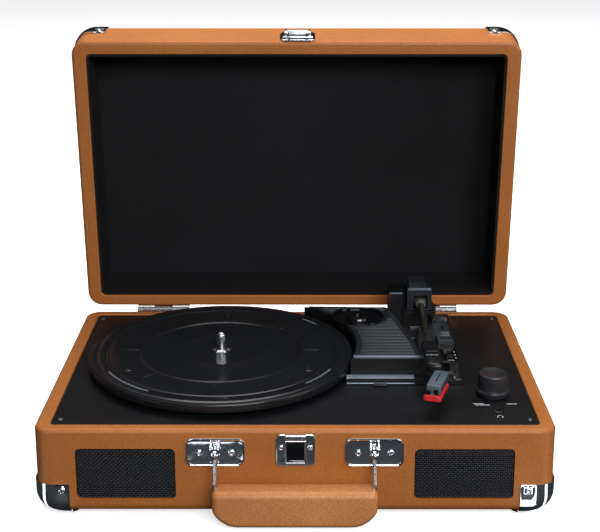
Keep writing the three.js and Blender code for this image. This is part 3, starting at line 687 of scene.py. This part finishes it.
def moulded_grip():
    outline = grip_outline()
    deep, r = (grip_hi.y - grip_lo.y) / 2, 4.4
    rings = []
    angles = [pi / 2 * i / 7 for i in range(8)]
    for side in (-1, 1):
        for a in angles[::-side]:
            d, level = r * (1 - sin(a)), (deep - r) + r * cos(a)
            rings.append(on_plane(inset(outline, d), GRIP_Y + side * level, "y"))
    return loft(rings)


grip = piece("moulded_grip", moulded_grip(), GRIP, "handle", replaces="handle_grip",
             sharp=70)
even_shading(grip)


def bent_rod():
    x, top = HANDLE_X, grip_hi.z
    half = [(-x, PIVOT.y, PIVOT.z - 2.4), (-x, PIVOT.y * 0.7 + GRIP_Y * 0.3, 38),
            (-x, PIVOT.y * 0.3 + GRIP_Y * 0.7, 31), (-x - 0.1, GRIP_Y, top + 1), (-x, GRIP_Y, top - 4),
            (-x + 1.2, GRIP_Y, top - 8), (-x + 4, GRIP_Y, top - 9)]
    left = smooth_path(half, 6)
    right = [Vector((-p.x, p.y, p.z)) for p in reversed(left)]
    eye = hub(1.5, 3, 1.6, 0.5, 0.5, 28)
    return join(sweep(left + right, 1.35, 14), *[across(eye, (s, PIVOT.y, PIVOT.z)) for s in (-x, x)])


piece("handle_rod", bent_rod(), ROD, "handle", replaces="handle_bail", sharp=50)
PLATE_Y = FRONT - 0.3
PLATE_W, PLATE_H = 20.25, 10.35


def pressed_plate(cx, cz):
    """A stamped plate with a rolled outer bead and a softly dished face."""
    rise, rim, r = 1.3, 1.1, 5
    section = [(0, 0), (0, rise * 0.55), (0.35, rise * 0.9), (0.8, rise), (rim * 0.85, rise * 0.95),
               (rim * 1.25, rise * 0.72), (rim * 1.7, rise * 0.6), (rim * 2.8, rise * 0.48),
               (rim * 5, rise * 0.4), (rim * 7.5, rise * 0.36)]
    return loft([on_plane(rounded(cx - PLATE_W + d, cx + PLATE_W - d, cz - PLATE_H + d, cz + PLATE_H - d,
                                  max(r - d, 1.2), 8), PLATE_Y - h, "y") for d, h in section])


def stamped(outline, steps):
    """A plate on the front, given by steps inward and their heights."""
    return loft([on_plane(inset(outline, d), PLATE_Y - h, "y") for d, h in steps])


def raised(x, z, low, high, edge, r, n=2):
    """A small block standing off the front between two heights."""
    return pillow_slab(rounded(*x, *z, r, n), PLATE_Y - high, PLATE_Y - low, edge, "y")


def handle_plate(cx):
    z = PIVOT.z
    parts = [pressed_plate(cx, z)]
    front = PIVOT.y - 2.3
    lower = [(front, z - 4), (front + 0.3, z - 5.4), (front + 1.2, z - 6.4), (PLATE_Y - 1.2, z - 8.2),
             (PLATE_Y, z - 8.2)]
    cheek = lower[3::-1] + [(y, 2 * z - h) for y, h in lower] + lower[4:]
    for s in (-1, 1):
        x0, x1 = sorted((cx + s * 2.1, cx + s * 3.2))
        parts.append(pillow_slab(cheek, x0, x1, 0.25, "x"))
        parts.append(screw((cx + s * 11, PLATE_Y - 0.45, z - 0.4), (0, -1, 0), 2.5, 1.5, 15 + 30 * s))
        pin_end = lathe([[0, -0.3], [1.3, -0.3], [1.4, 0.1], [1, 0.35], [0, 0.4]], n=20)
        parts.append(placed(pin_end, along((s, 0, 0), (cx + s * 3.2, PIVOT.y, z))))
    pin = lathe([[0, -3.4], [1.15, -3.4], [1.15, 3.4], [0, 3.4]], n=20)
    parts.append(across(pin, (cx, PIVOT.y, z)))
    return join(*parts)


for side, cx in (("left", -HANDLE_X), ("right", HANDLE_X)):
    piece(f"handle_plate_{side}", handle_plate(cx), CHROME, "base", sharp=35, bevel=0.15,
          replaces=f"handle_bracket_{side}")

keep_lo, keep_hi = node_box("latch_keeper")
KEEP_X = (keep_lo.x + keep_hi.x) / 2


def catch_plate():
    parts = [stamped(rounded(keep_lo.x, keep_hi.x, 35.7, 59.3, 3.2, 8),
                     [(0, 0), (0, 0.9), (0.4, 1.25), (1, 1.3), (1.7, 1), (3.5, 0.95)])]
    x0, x1, z0, z1 = KEEP_X - 7.2, KEEP_X + 7.2, 38.4, 55.4
    for x, z in (((x0, x1), (z0, z0 + 1.1)), ((x0, x0 + 1.1), (z0, z1)), ((x1 - 1.1, x1), (z0, z1)),
                 ((x0, x1), (z1 - 0.9, z1))):
        parts.append(raised(x, z, 0.6, 3.1, 0.35, 0.3))
    parts.append(raised((x0 - 0.2, x1 + 0.2), (55.6, 59.6), 0.4, 3.4, 0.5, 0.8, 4))
    for k in range(9):
        x = x0 + 1.2 + k * (x1 - x0 - 2.4) / 8
        parts.append(raised((x - 0.38, x + 0.38), (56.2, 58.9), 3.2, 3.8, 0.25, 0.3))
    for s in (-1, 1):
        parts.append(screw((KEEP_X + s * 9.9, PLATE_Y - 0.9, 49.6), (0, -1, 0), 2, 1.2, 25))
    return join(*parts)


piece("catch_plate", catch_plate(), CHROME, "base", bevel=0.12, replaces="latch_keeper")
piece("catch_window", raised((KEEP_X - 6.3, KEEP_X + 6.3), (39.2, 54.8), 1.1, 1.5, 0.15, 0.8, 3), GLOSS,
      "base")

# Latch on the lid, in closed coordinates
LATCH_X = 0.8
hasp_pin = (LATCH_X, FRONT - 3.6, LID_Z + 15)


def latch_body():
    parts = [stamped(rounded(LATCH_X - 14, LATCH_X + 14, LID_Z + 0.6, LID_Z + 25.2, 5, 8),
                     [(0, 0), (0, 0.7), (0.4, 1.1), (1.1, 1.2), (2, 0.95), (4, 0.9)])]
    for s in (-1, 1):
        a, b = sorted((LATCH_X + s * 8.7, LATCH_X + s * 10.2))
        cheek = rounded(hasp_pin[1] - 2, PLATE_Y, hasp_pin[2] - 4, hasp_pin[2] + 4, 1.6, 5)
        parts.append(pillow_slab(cheek, a, b, 0.3, "x"))
        parts.append(screw((LATCH_X + s * 6.5, PLATE_Y - 0.8, LID_Z + 21.8), (0, -1, 0), 1.6, 0.9, 35))
    pin = lathe([[0, -10.8], [0.6, -10.8], [0.95, -10.4], [0.95, 10.4], [0.6, 10.8], [0, 10.8]], n=16)
    parts.append(across(pin, hasp_pin))
    return join(*parts)


def hasp_blade():
    x, y, z = hasp_pin
    back, front = PLATE_Y - y - 0.7, PLATE_Y - y + 0.8
    parts = []
    low = LID_Z - 2.2
    for s in (-1, 1):
        arm = sorted((x + s * 5.9, x + s * 8.2))
        parts.append(raised(arm, (low + 1, z), back, front, 0.35, 0.4, 3))
    parts.append(raised((x - 8.2, x + 8.2), (LID_Z + 8.2, z + 0.6), back, front, 0.35, 0.8, 4))
    for k in range(5):
        rib = LID_Z + 9 + k * 1.15
        parts.append(raised((x - 7, x + 7), (rib, rib + 0.6), front - 0.2, front + 0.5, 0.2, 0.25))
    parts.append(across(hub(1.2, 1.9, 8.2, 0.2, 0.3, 24), hasp_pin))
    for bar in ((low, low + 1.5), (low + 2.1, low + 3.7)):
        parts.append(raised((x - 12, x + 12), bar, back, front, 0.4, 0.6, 4))
    return join(*parts)


piece("latch_body", latch_body(), CHROME, "lid", bevel=0.12, replaces="lid_latch_plate")
piece("latch_blade", hasp_blade(), CHROME, "hasp", replaces="latch_hasp", sharp=45)

# Hinge screws on the CAD leaves
for side, x in (("left", -114), ("right", 114)):
    for half, z in (("base", 51), ("lid", 74)):
        heads = [screw((x + dx, BACK + 1.3, z), (0, 1, 0), 2, 0.7, 40 + dx) for dx in (-15, 0, 15)]
        piece(f"{half}_hinge_screws_{side}", join(*heads), STEEL, half, sharp=50)


# ---- platter and spindle

CX, CY = (Vector(joints["platter_spin"]["pos_m"]) / MM).xy
platter_profile = [
    [3.3, 69.6], [3.3, 70.6], [7.2, 70.6], [7.8, 71], [21.5, 71.05], [22.3, 71.3], [26.2, 71.3],
    [28.6, 72.15], [29.4, 72.35], [30.4, 72.25], [34.5, 71.25], [56.5, 71.2], [58.6, 71.35],
    [59.6, 72.1], [60.6, 72.45], [61.4, 72.4], [62.2, 71.95], [63.5, 71.85], [84.5, 71.85],
    [85.4, 71.75], [86, 71.3], [86.9, 71.25], [87.6, 71.7], [88.4, 72.1], [94.6, 72.15], [95.6, 71.9],
    [96.4, 71.35], [97.2, 71.3], [98, 71.65], [99, 71.6], [99.7, 71.1], [100, 70.4], [100, 66.2],
    [99.6, 65.2], [98.4, 65], [97, 65], [97, 69.4], [52.5, 69.4], [52.5, 63.5], [49.5, 63.5],
    [49.5, 69.4], [3.3, 69.6],
]
piece("platter_moulding", lathe(platter_profile, CX, CY, 128), PLATTER, "platter",
      replaces="platter", sharp=32)


def on_platter(part, turn):
    return placed(part, Matrix.Translation((CX, CY, 0)) @ Matrix.Rotation(radians(turn), 4, "Z"))


def platter_details():
    boss = lathe([[0, 71.6], [3.4, 71.6], [3.4, 72], [3, 72.3], [2.2, 72.25], [2, 71.95], [0, 71.95]],
                 76.5, n=28)
    parts = [on_platter(boss, turn) for turn in (90, 210, 330)]
    rib = pillow_slab(rounded(63, 74.5, -0.35, 0.35, 0.3, 3), 71.7, 72.15, 0.2)
    parts += [on_platter(rib, turn) for turn in (0, 45, 135, 180, 225, 315)]
    parts.append(on_platter(pillow_slab(rounded(63, 65.4, -1.1, 1.1, 0.4, 3), 71.7, 72.1, 0.2), 270))
    return join(*parts)


def platter_arcs():
    """Short raised arcs in the outer band, pale grey as a painted reflection."""
    parts = []
    for start, span in ((209, 30), (315, 20), (37, 10)):
        path = [Vector((90.6 * cos(a), 90.6 * sin(a), 72.1)) for a in
                (radians(start + span * i / 24) for i in range(25))]
        parts.append(placed(sweep(path, 0.95, 8, 0.35), Matrix.Translation((CX, CY, 0))))
    return join(*parts)


piece("platter_details", platter_details(), PLATTER, "platter", sharp=45)
piece("platter_arcs", platter_arcs(), ARC_REFLECTION_GREY, "platter")


def star_foot(a, z):
    return max(0, cos(6 * a)) if 70.4 < z < 73.4 else 0


spindle = join(
    lathe([[0, 70.2], [6.2, 70.2], [6.2, 71.7], [5.4, 72.6], [4.2, 73.2], [3.6, 73.4]], CX, CY, 72,
          star_foot),
    lathe([[0, 60], [3, 60], [3, 72.6], [3.55, 73.2], [3.55, 82.6], [3.35, 84.2], [2.7, 85.6],
           [1.6, 86.4], [0, 86.6]], CX, CY, 40),
)
piece("spindle_pin", spindle, ROD, "platter", replaces="spindle", sharp=40)


# ---- mechanism on the right of the platter

COVER = [(73, 84), (79.5, 58), (84.5, 33), (90, 5), (94, -28)]
COVER_IN, COVER_R = 0.5, 103.5


def cover_outline(front, back):
    """The ribbed cover's outline, anticlockwise; its left side follows the platter."""
    a0, a1 = (degrees(asin((y - CY) / COVER_R)) for y in (front, back))
    edge = []
    for (x0, y0), (x1, y1) in zip(COVER, COVER[1:]):
        edge += [(x0 + (x1 - x0) * k / 6 - COVER_IN, y0 + (y1 - y0) * k / 6) for k in range(6)]
    edge.append((COVER[-1][0] - COVER_IN, COVER[-1][1]))
    return arc(CX, CY, COVER_R, a1, a0, 40) + [p for p in edge[::-1] if front <= p[1] <= back]


ADAPTER = (49.5, 58.5)
PLINTH_TOP, HOUSING_TOP, RIB_TOP = 64.3, 77, 79


def x_span(y):
    """Left and right limits of the ribbed plate at one depth."""
    left = CX + sqrt(COVER_R ** 2 - (y - CY) ** 2)
    for (x0, y0), (x1, y1) in zip(COVER, COVER[1:]):
        if y1 <= y <= y0:
            return left, x0 + (x1 - x0) * (y0 - y) / (y0 - y1) - COVER_IN


def ribbed_plate():
    """A base plate with raised ribs that run left to right and stop round the adapter well."""
    parts = []
    front, back = -24, 82
    plate = slab(cover_outline(front, back), HOUSING_TOP + 0.3, RIB_TOP - 0.55)
    pitch, clear = 3.05, 23
    y = front + 3.4
    while y < back - 2:
        x0, x1 = x_span(y)
        spans = [(x0 + 3, x1 - 3.2)]
        dy = abs(y - ADAPTER[1])
        if dy < clear:
            half = sqrt(clear ** 2 - dy ** 2)
            spans = [(x0 + 3, ADAPTER[0] - half), (ADAPTER[0] + half, x1 - 3.2)]
        for a, b in spans:
            if b - a > 4:
                outline = rounded(a, b, y - 0.95, y + 0.95, 0.8, 3)
                parts.append(pillow_slab(outline, RIB_TOP - 0.8, RIB_TOP, 0.4, both=False))
        y += pitch
    return plate, join(*parts)


rib_sheet, ribs = ribbed_plate()
sheet = piece("ribbed_plate_sheet", rib_sheet, RIB, "base", replaces="ribbed_cover_plate")
carve(sheet, lathe([[0, 70], [20.4, 70], [20.4, 84], [0, 84]], *ADAPTER, 64))
soften(sheet, 0.35)
piece("ribbed_plate_ribs", ribs, RIB, "base", sharp=40)
# The lip's pale silver grey is a painted highlight along the cover's front edge.
front_lip = pillow_slab(rounded(42.6, 93.3, -27.2, -24.3, 0.5, 3), HOUSING_TOP, RIB_TOP + 0.1, 0.5)
piece("cover_front_lip_highlight", front_lip, LEDGE_AND_HIGHLIGHT, "base")
rim = lathe([[19.5, 77.6], [19.6, 78.9], [20, 79.2], [20.5, 79.1], [20.7, 78.6], [20.7, 77.9],
             [19.5, 77.6]], *ADAPTER, 72)
piece("well_rim", rim, GLOSS, "base")
well = lathe([[0, 73.05], [19.8, 73.05], [19.85, 78.4], [19.5, 78.4], [19.4, 73.22], [0, 73.2]],
             *ADAPTER, 72)
piece("adapter_well", well, GLOSS, "base")
adapter = lathe([[3.7, 73.4], [18.2, 73.4], [18.8, 74], [18.8, 75.6], [18.2, 76.4], [15.4, 76.6],
                 [14.8, 75.4], [10.6, 75.4], [9.6, 76], [9, 78.8], [8.3, 79.5], [4.6, 79.5], [3.7, 78.9],
                 [3.7, 73.4]], *ADAPTER, 72)
piece("record_adapter_disc", adapter, GLOSS, "adapter", replaces="record_adapter")

# The pale ledge in front of the housing, with its little foot
ledge_side = [(-38.4, 61.5), (-28.4, 61.5), (-28.4, 65.3), (-31.5, 65.3), (-38.4, 62.6)]
ledge = loft([on_plane(ledge_side, x, "x") for x in (37.2, 37.8, 87, 87.6)])
piece("plinth_ledge", ledge, LEDGE_AND_HIGHLIGHT, "base", bevel=0.4)
piece("plinth_foot", box((57, 67), (-41.4, -37.8), (61.1, 62.5), 0.6), PLASTIC, "base")


# ---- tonearm

ARM_Z = 83.5
arm_path = smooth_path([(x, y, ARM_Z) for x, y in ((101, 82), (100.6, 50), (99.4, 15), (98.4, -13))], 10)
arm = join(sweep(arm_path, 2.4, 20), across(hub(1.6, 4.6, 5, 0.4, 0.5, 36), (101, 82, ARM_Z)))
piece("arm_tube", arm, TUBE, "tonearm", replaces="tonearm_tube", sharp=50)
collar = lathe([[2.4, 0], [3.9, 0], [4.2, 0.5], [4.2, 2.6], [3.8, 3.1], [3, 3.2], [2.9, 4.2],
                [2.4, 4.4]], n=36)
piece("arm_collar", placed(collar, along((0, -1, 0), (100.95, 75.4, ARM_Z))), COLLAR, "tonearm")
# The turret band and the side cover band are painted highlights along their top edges.
piece("turret_highlight_band", box((90.2, 109.8), (75.4, 77.6), (94, 96.1), 0.5), TRIM_AND_HIGHLIGHT, "arm_turret")
piece("side_cover_highlight_band", box((75.6, 86.5), (78.4, 79.6), (90, 91.4), 0.4), TRIM_AND_HIGHLIGHT, "base")


SHELL = [(94, -13.3), (93, -17.5), (92, -22), (92.6, -40), (93.5, -58), (96.5, -60.6), (101, -61.4),
         (104, -61), (105.6, -56), (106.5, -50), (105.9, -35), (105, -20), (104.3, -15.6), (103, -13.3)]
SHELL_STEPS = ((0.8, 79.9), (0.1, 80.6), (0, 82), (0, 84.4), (0.4, 85.6), (1.3, 86.5), (2.6, 86.95))
shell = join(loft([on_plane(inset(SHELL, d), z) for d, z in SHELL_STEPS]),
             box((95.2, 103.4), (-36.8, -35.4), (86.2, 87.2), 0.3))
piece("head_shell", shell, PLASTIC, "tonearm", replaces="headshell", sharp=30)
# The pale line across the head shell is a painted highlight.
piece("head_shell_highlight_line", box((94.2, 103.6), (-44, -43.2), (86.5, 87.2), 0.2), LEDGE_AND_HIGHLIGHT, "tonearm")
ARM_PLANE = Matrix.Translation((100.2, -77, 0)) @ Matrix.Rotation(radians(-18), 4, "Z")


cartridge = placed(join(box((-5, 5), (-15.9, 12), (77.5, 84), 0.6),
                        box((-4.4, 4.4), (11, 13.5), (77.6, 79.4), 0.3)), ARM_PLANE)
piece("cartridge_body", cartridge, CARTRIDGE, "tonearm", replaces="cartridge")
groove = placed(join(box((-0.4, 0.4), (-8, 7), (83.4, 84.12), 0.12),
                     box((-4.2, -1.2), (-17.8, -15.4), (77.6, 80.6), 0.3),
                     box((0.6, 3.8), (-17.2, -15.4), (78, 81.4), 0.3),
                     box((4.6, 5.3), (-13, 9), (79.6, 80.8), 0.2)), ARM_PLANE)
piece("cartridge_groove", groove, GLOSS, "tonearm")


def stylus():
    foot = box((-6.2, 6.2), (-19.4, -14.6), (73.5, 76.9), 0.9)
    arm_side = box((2.8, 6.2), (-16, 8), (73.6, 76.9), 0.9)
    tip = lathe([[0, 72.9], [0.35, 73.3], [0.7, 74.5], [0, 74.5]], 0, -18, 12)
    wedge = loft([on_plane([(-5, -20.2), (5, -20.2), (5.6, -17), (-5.6, -17)], 74),
                  on_plane([(-4.4, -19.6), (4.4, -19.6), (5.2, -17), (-5.2, -17)], 77.6)])
    return placed(join(foot, arm_side, tip, wedge), ARM_PLANE)


piece("stylus_guard", stylus(), RED, "tonearm", replaces="stylus", bevel=0.3)
holder = placed(join(box((-3.4, 1.6), (-16.5, -13), (76.4, 78.2), 0.3),
                     box((-1.6, -0.4), (-19, -16), (77, 78.6), 0.25)), ARM_PLANE)
piece("stylus_holder", holder, CARTRIDGE, "tonearm")

# Small trim round the arm
trim = join(
    box((88.5, 94.5), (44, 46.2), (PLINTH_TOP, PLINTH_TOP + 1.4), 0.3),
    *[box((111 + k * 2.4, 112.4 + k * 2.4), (12, 13.2), (75.7, 76.4), 0.2) for k in range(4)],
    *[box((112, 119.4), (22 + 3.6 * k, 23.2 + 3.6 * k), (75.7, 76.4), 0.25) for k in range(3)],
    box((113.5, 118.5), (-20.7, -19.6), (72.5, 73.4), 0.3),
    *[box((117.4 + 1.7 * k, 118.5 + 1.7 * k), (-37, -35.2), (PLINTH_TOP - 0.3, PLINTH_TOP + 0.5), 0.2)
      for k in range(3)],
)
piece("rest_trim", trim, TRIM_AND_HIGHLIGHT, "base")
marks = [box((119.4, 120.3), (-16 + 6 * k, -15.1 + 6 * k), (72.8, 73.1), 0.1) for k in range(3)]
marks += [box((116.9, 117.7), (y, y + 0.8), (PLINTH_TOP, PLINTH_TOP + 0.15), 0.05) for y in (-33, -30.9)]
piece("switch_marks", join(*marks), PRINT, "base")


# ---- deck, knob, jack, feet

deck_screws = join(*[screw((x, y, DECK_Z - 0.1), (0, 0, 1), r, 0.8, turn) for x, y, r, turn in
                     ((-162, -97, 2.1, 10), (162, -97, 2.1, 70), (-162.7, 98.4, 2.1, 30),
                      (163.2, 100, 2.1, 55), (127.6, 105.5, 1.5, 5))])
piece("deck_screws", deck_screws, DARK_SCREW, "base", sharp=50)

KNOB_C = Vector(joints["volume_knob_turn"]["pos_m"]) / MM
knob_profile = [[0, 61.3], [10.4, 61.3], [10.6, 61.6], [10.6, 63.4], [11.9, 63.7], [12.2, 64.1],
                [12.2, 65.6], [11.9, 66.1], [10.9, 66.4], [10.7, 66.9], [10.7, 76.8], [10.5, 77.5],
                [10, 78], [9.3, 78.1], [9, 77.95], [0, 77.9]]


def knurl(a, z):
    return 0.07 * cos(60 * a) if 67 < z < 77 else 0


knob_rings = []
for (r0, z0), (_, z1) in zip(knob_profile, knob_profile[1:]):
    knob_rings.append([r0, z0])
    if z1 - z0 > 8:
        knob_rings += [[r0, z0 + 0.6], [r0, z1 - 0.6]]
knob_rings.append(knob_profile[-1])
knob = join(lathe(knob_rings, KNOB_C.x, KNOB_C.y, 288, knurl),
            box((KNOB_C.x - 0.45, KNOB_C.x + 0.45), (KNOB_C.y + 4, KNOB_C.y + 9), (77.5, 78.1), 0.2))
piece("knob_cap", knob, KNOB, "volume_knob", replaces="volume_knob", sharp=40)
JACK = (142.2, -83.2)
jack = lathe([[1.8, 50], [1.8, 61.6], [2.2, 62], [3.4, 62], [3.9, 61.7], [4, 61.2], [3.1, 61.1],
              [3.1, 50], [1.8, 50]], *JACK, 40)
piece("jack_ring", jack, PLASTIC, "base", replaces="headphone_jack")

# Plain marks printed on the deck: short bars below the knob and a headphone sign at the jack
INK = 0.12
band = sweep(on_plane(arc(142.1, -92.2, 1.7, 0, 180, 20), DECK_Z + 0.05), 0.22, 6, 0.3)
bars = [box((x0, x1), (y, y + deep), (DECK_Z, DECK_Z + INK), 0.05) for x0, x1, y, deep in
        ((140, 140.8, -93.8, 1.6), (143.4, 144.2, -93.8, 1.6), (126.2, 133.4, -71.6, 0.8),
         (127.4, 137.6, -73.6, 0.8), (149.8, 157, -71.8, 0.8))]
piece("deck_marks", join(band, *bars), PRINT, "base")

foot_profile = [[0, -3.6], [3, -3.9], [7.4, -4], [8.6, -3.7], [9, -3], [9, 0.2], [8, 0.48], [0, 0.48]]
for end, y in (("front", -82), ("back", 82)):
    for side, x in (("left", -140), ("right", 140)):
        piece(f"rubber_foot_{end}_{side}", lathe(foot_profile, x, y, 48), RUBBER, "base",
              replaces=f"foot_{end}_{side}")

sockets = []
for x, r, ring in ((66, 5, 5.6), (80, 4.2, 4.9), (94, 4.2, 4.9), (110, 3.6, 4.2)):
    collar_ring = lathe([[r - 1.7, -0.6], [r - 1.6, 0.9], [r - 0.8, 1.1], [ring - 0.9, 0.8], [ring, 0.1],
                         [ring, -0.6], [r - 1.7, -0.6]], n=36)
    sockets.append(placed(collar_ring, along((0, 1, 0), (x, BACK - 0.55, 28))))
piece("socket_rings", join(*sockets), STEEL, "base")

# CAD nodes that show as they are, with their finish and the rounding of their edges
for names, material, edge in (
        ("drive_motor volume_potentiometer", STEEL, 0), ("platter_bearing_bush motor_pulley", BRASS, 0),
        ("drive_belt", RUBBER, 0), ("speaker_left speaker_right", PAPER, 0), ("circuit_board", BOARD, 0),
        ("base_hinge_leaf_left base_hinge_leaf_right", STEEL, 0.25),
        ("lid_hinge_leaf_left lid_hinge_leaf_right", STEEL, 0.25), ("cue_lift_bar", STEEL, 0.3),
        ("arm_rest_clip", PLASTIC, 0.25), ("rear_socket_panel", PLASTIC, 0.3),
        ("deck_panel base_bottom_panel", DECK, 0.3), ("speed_switch_housing", GLOSS, 0.4),
        ("speed_selector auto_stop_switch", GLOSS, 0.5), ("arm_rest cue_lever", BLOCK, 0.5),
        ("mechanism_plinth", PLASTIC, 0.6), ("lid_liner", LINER, 0.6),
        ("mechanism_housing tonearm_base", PLASTIC, 0.7), ("tonearm_turret", GREY, 0.8)):
    for node in names.split():
        shown = frame["nodes"][node]
        shown.data.materials.clear()
        shown.data.materials.append(material)
        if edge:
            soften(shown, edge, 2, 30)


# ---- floor, lights, camera

def rectangle(x0, x1, y0, y1):
    return [(x0, y0), (x1, y0), (x1, y1), (x0, y1)]


def sheet_piece(name, corners, material):
    mesh = bpy.data.meshes.new(name)
    mesh.from_pydata(corners, [], [tuple(range(len(corners)))])
    mesh.materials.append(material)
    obj = linked(name, mesh)
    return obj


FLOOR_Z, CARD_Z, FAR, COOL = -0.004, -0.003, 14, (0.95, 0.97, 1)
sheet_piece("studio_floor", on_plane(rectangle(-FAR, FAR, -FAR, FAR), FLOOR_Z), FLOOR)


def card(name, corners, color, emission):
    """A card that only shows in reflections."""
    mat = base_material(name, color, 1, Emission_Strength=emission, Emission_Color=(*color, 1),
                        Specular_IOR_Level=0)[0]
    obj = sheet_piece(name, corners, mat)
    obj.visible_camera = obj.visible_diffuse = obj.visible_shadow = obj.visible_transmission = False


for side, s in (("left", -1), ("right", 1)):
    # A bright wedge on the floor that fans out from under each front corner
    x, y, reach = s * (HALF_W - 14) * MM, (-HALF_D + 14) * MM, 0.7
    turns = [radians(s * 54 + turn) for turn in (-7, 7)]
    wedge = [(x, y)] + [(x + reach * sin(a), y - reach * cos(a)) for a in turns]
    card(f"strip_{side}", on_plane(wedge, CARD_Z), (0.93, 0.96, 1), 1.1)
    card(f"far_card_{side}", on_plane(rectangle(s * 0.9, s * 0.25, 0.01, 0.32), -1.9, "y"), COOL, 0.9)
card("cap_glint", on_plane(rectangle(0.15, 0.171, -0.18, -0.126), CARD_Z), COOL, 0.85)
glint = [(-0.084, -0.202), (-0.05, -0.202), (-0.046, -0.189), (-0.078, -0.189)]
card("plate_glint", on_plane(glint, CARD_Z), (0.9, 0.95, 1), 0.75)


def soft_light(name, at, target, size_x, size_y, power):
    data = bpy.data.lights.new(name, "AREA")
    data.shape = "RECTANGLE"
    data.size, data.size_y, data.energy = size_x, size_y, power
    obj = linked(name, data)
    obj.location = at
    obj.rotation_euler = (Vector(target) - Vector(at)).to_track_quat("-Z", "Y").to_euler()
    return obj


centre = (0, 0, 0.08)
soft_light("top_softbox", (0.1, 0.3, 1.5), centre, 1.3, 0.8, 11)
soft_light("back_softbox", (0, 1.35, 1.6), (0, 0.15, 0.3), 0.6, 0.4, 34).visible_glossy = False
soft_light("front_softbox", (0.5, -1.75, 1.1), centre, 1.5, 0.6, 34)
soft_light("side_softbox", (1.5, -0.6, 0.55), centre, 0.7, 0.5, 4)

# The world is white to the camera, and to every other ray it brightens from dim walls to a pale ceiling
world = bpy.data.worlds.new("studio")
world.use_nodes = True
scene = bpy.context.scene
scene.world = world
nodes, links = world.node_tree.nodes, world.node_tree.links
room = nodes["Background"]
room.inputs["Strength"].default_value = 0.5
split = nodes.new("ShaderNodeSeparateXYZ")
links.new(nodes.new("ShaderNodeTexCoord").outputs["Generated"], split.inputs["Vector"])
ramp = nodes.new("ShaderNodeValToRGB")
low, high = ramp.color_ramp.elements
low.position, low.color = 0.5, (0.035, 0.04, 0.045, 1)
high.position, high.color = 0.82, (0.9, 0.9, 0.9, 1)
links.new(split.outputs["Z"], ramp.inputs["Fac"])
links.new(ramp.outputs["Color"], room.inputs["Color"])
white = nodes.new("ShaderNodeBackground")
white.inputs["Color"].default_value = (1, 1, 1, 1)
switch = nodes.new("ShaderNodeMixShader")
links.new(nodes.new("ShaderNodeLightPath").outputs["Is Camera Ray"], switch.inputs["Fac"])
links.new(room.outputs["Background"], switch.inputs[1])
links.new(white.outputs["Background"], switch.inputs[2])
links.new(switch.outputs["Shader"], nodes["World Output"].inputs["Surface"])

scene.view_settings.view_transform = "Standard"
scene.view_settings.exposure = 0.0
lens = bpy.data.cameras.new("camera")
lens.sensor_width, lens.lens, lens.clip_end = 36, 75.99, 50
lens.shift_x, lens.shift_y = -0.0068, -0.1206
camera = linked("camera", lens)
camera.location = (0.007647, -0.900686, 0.436662)
camera.rotation_euler = (radians(90 - 14.947), 0, radians(0.102))
scene.camera = camera
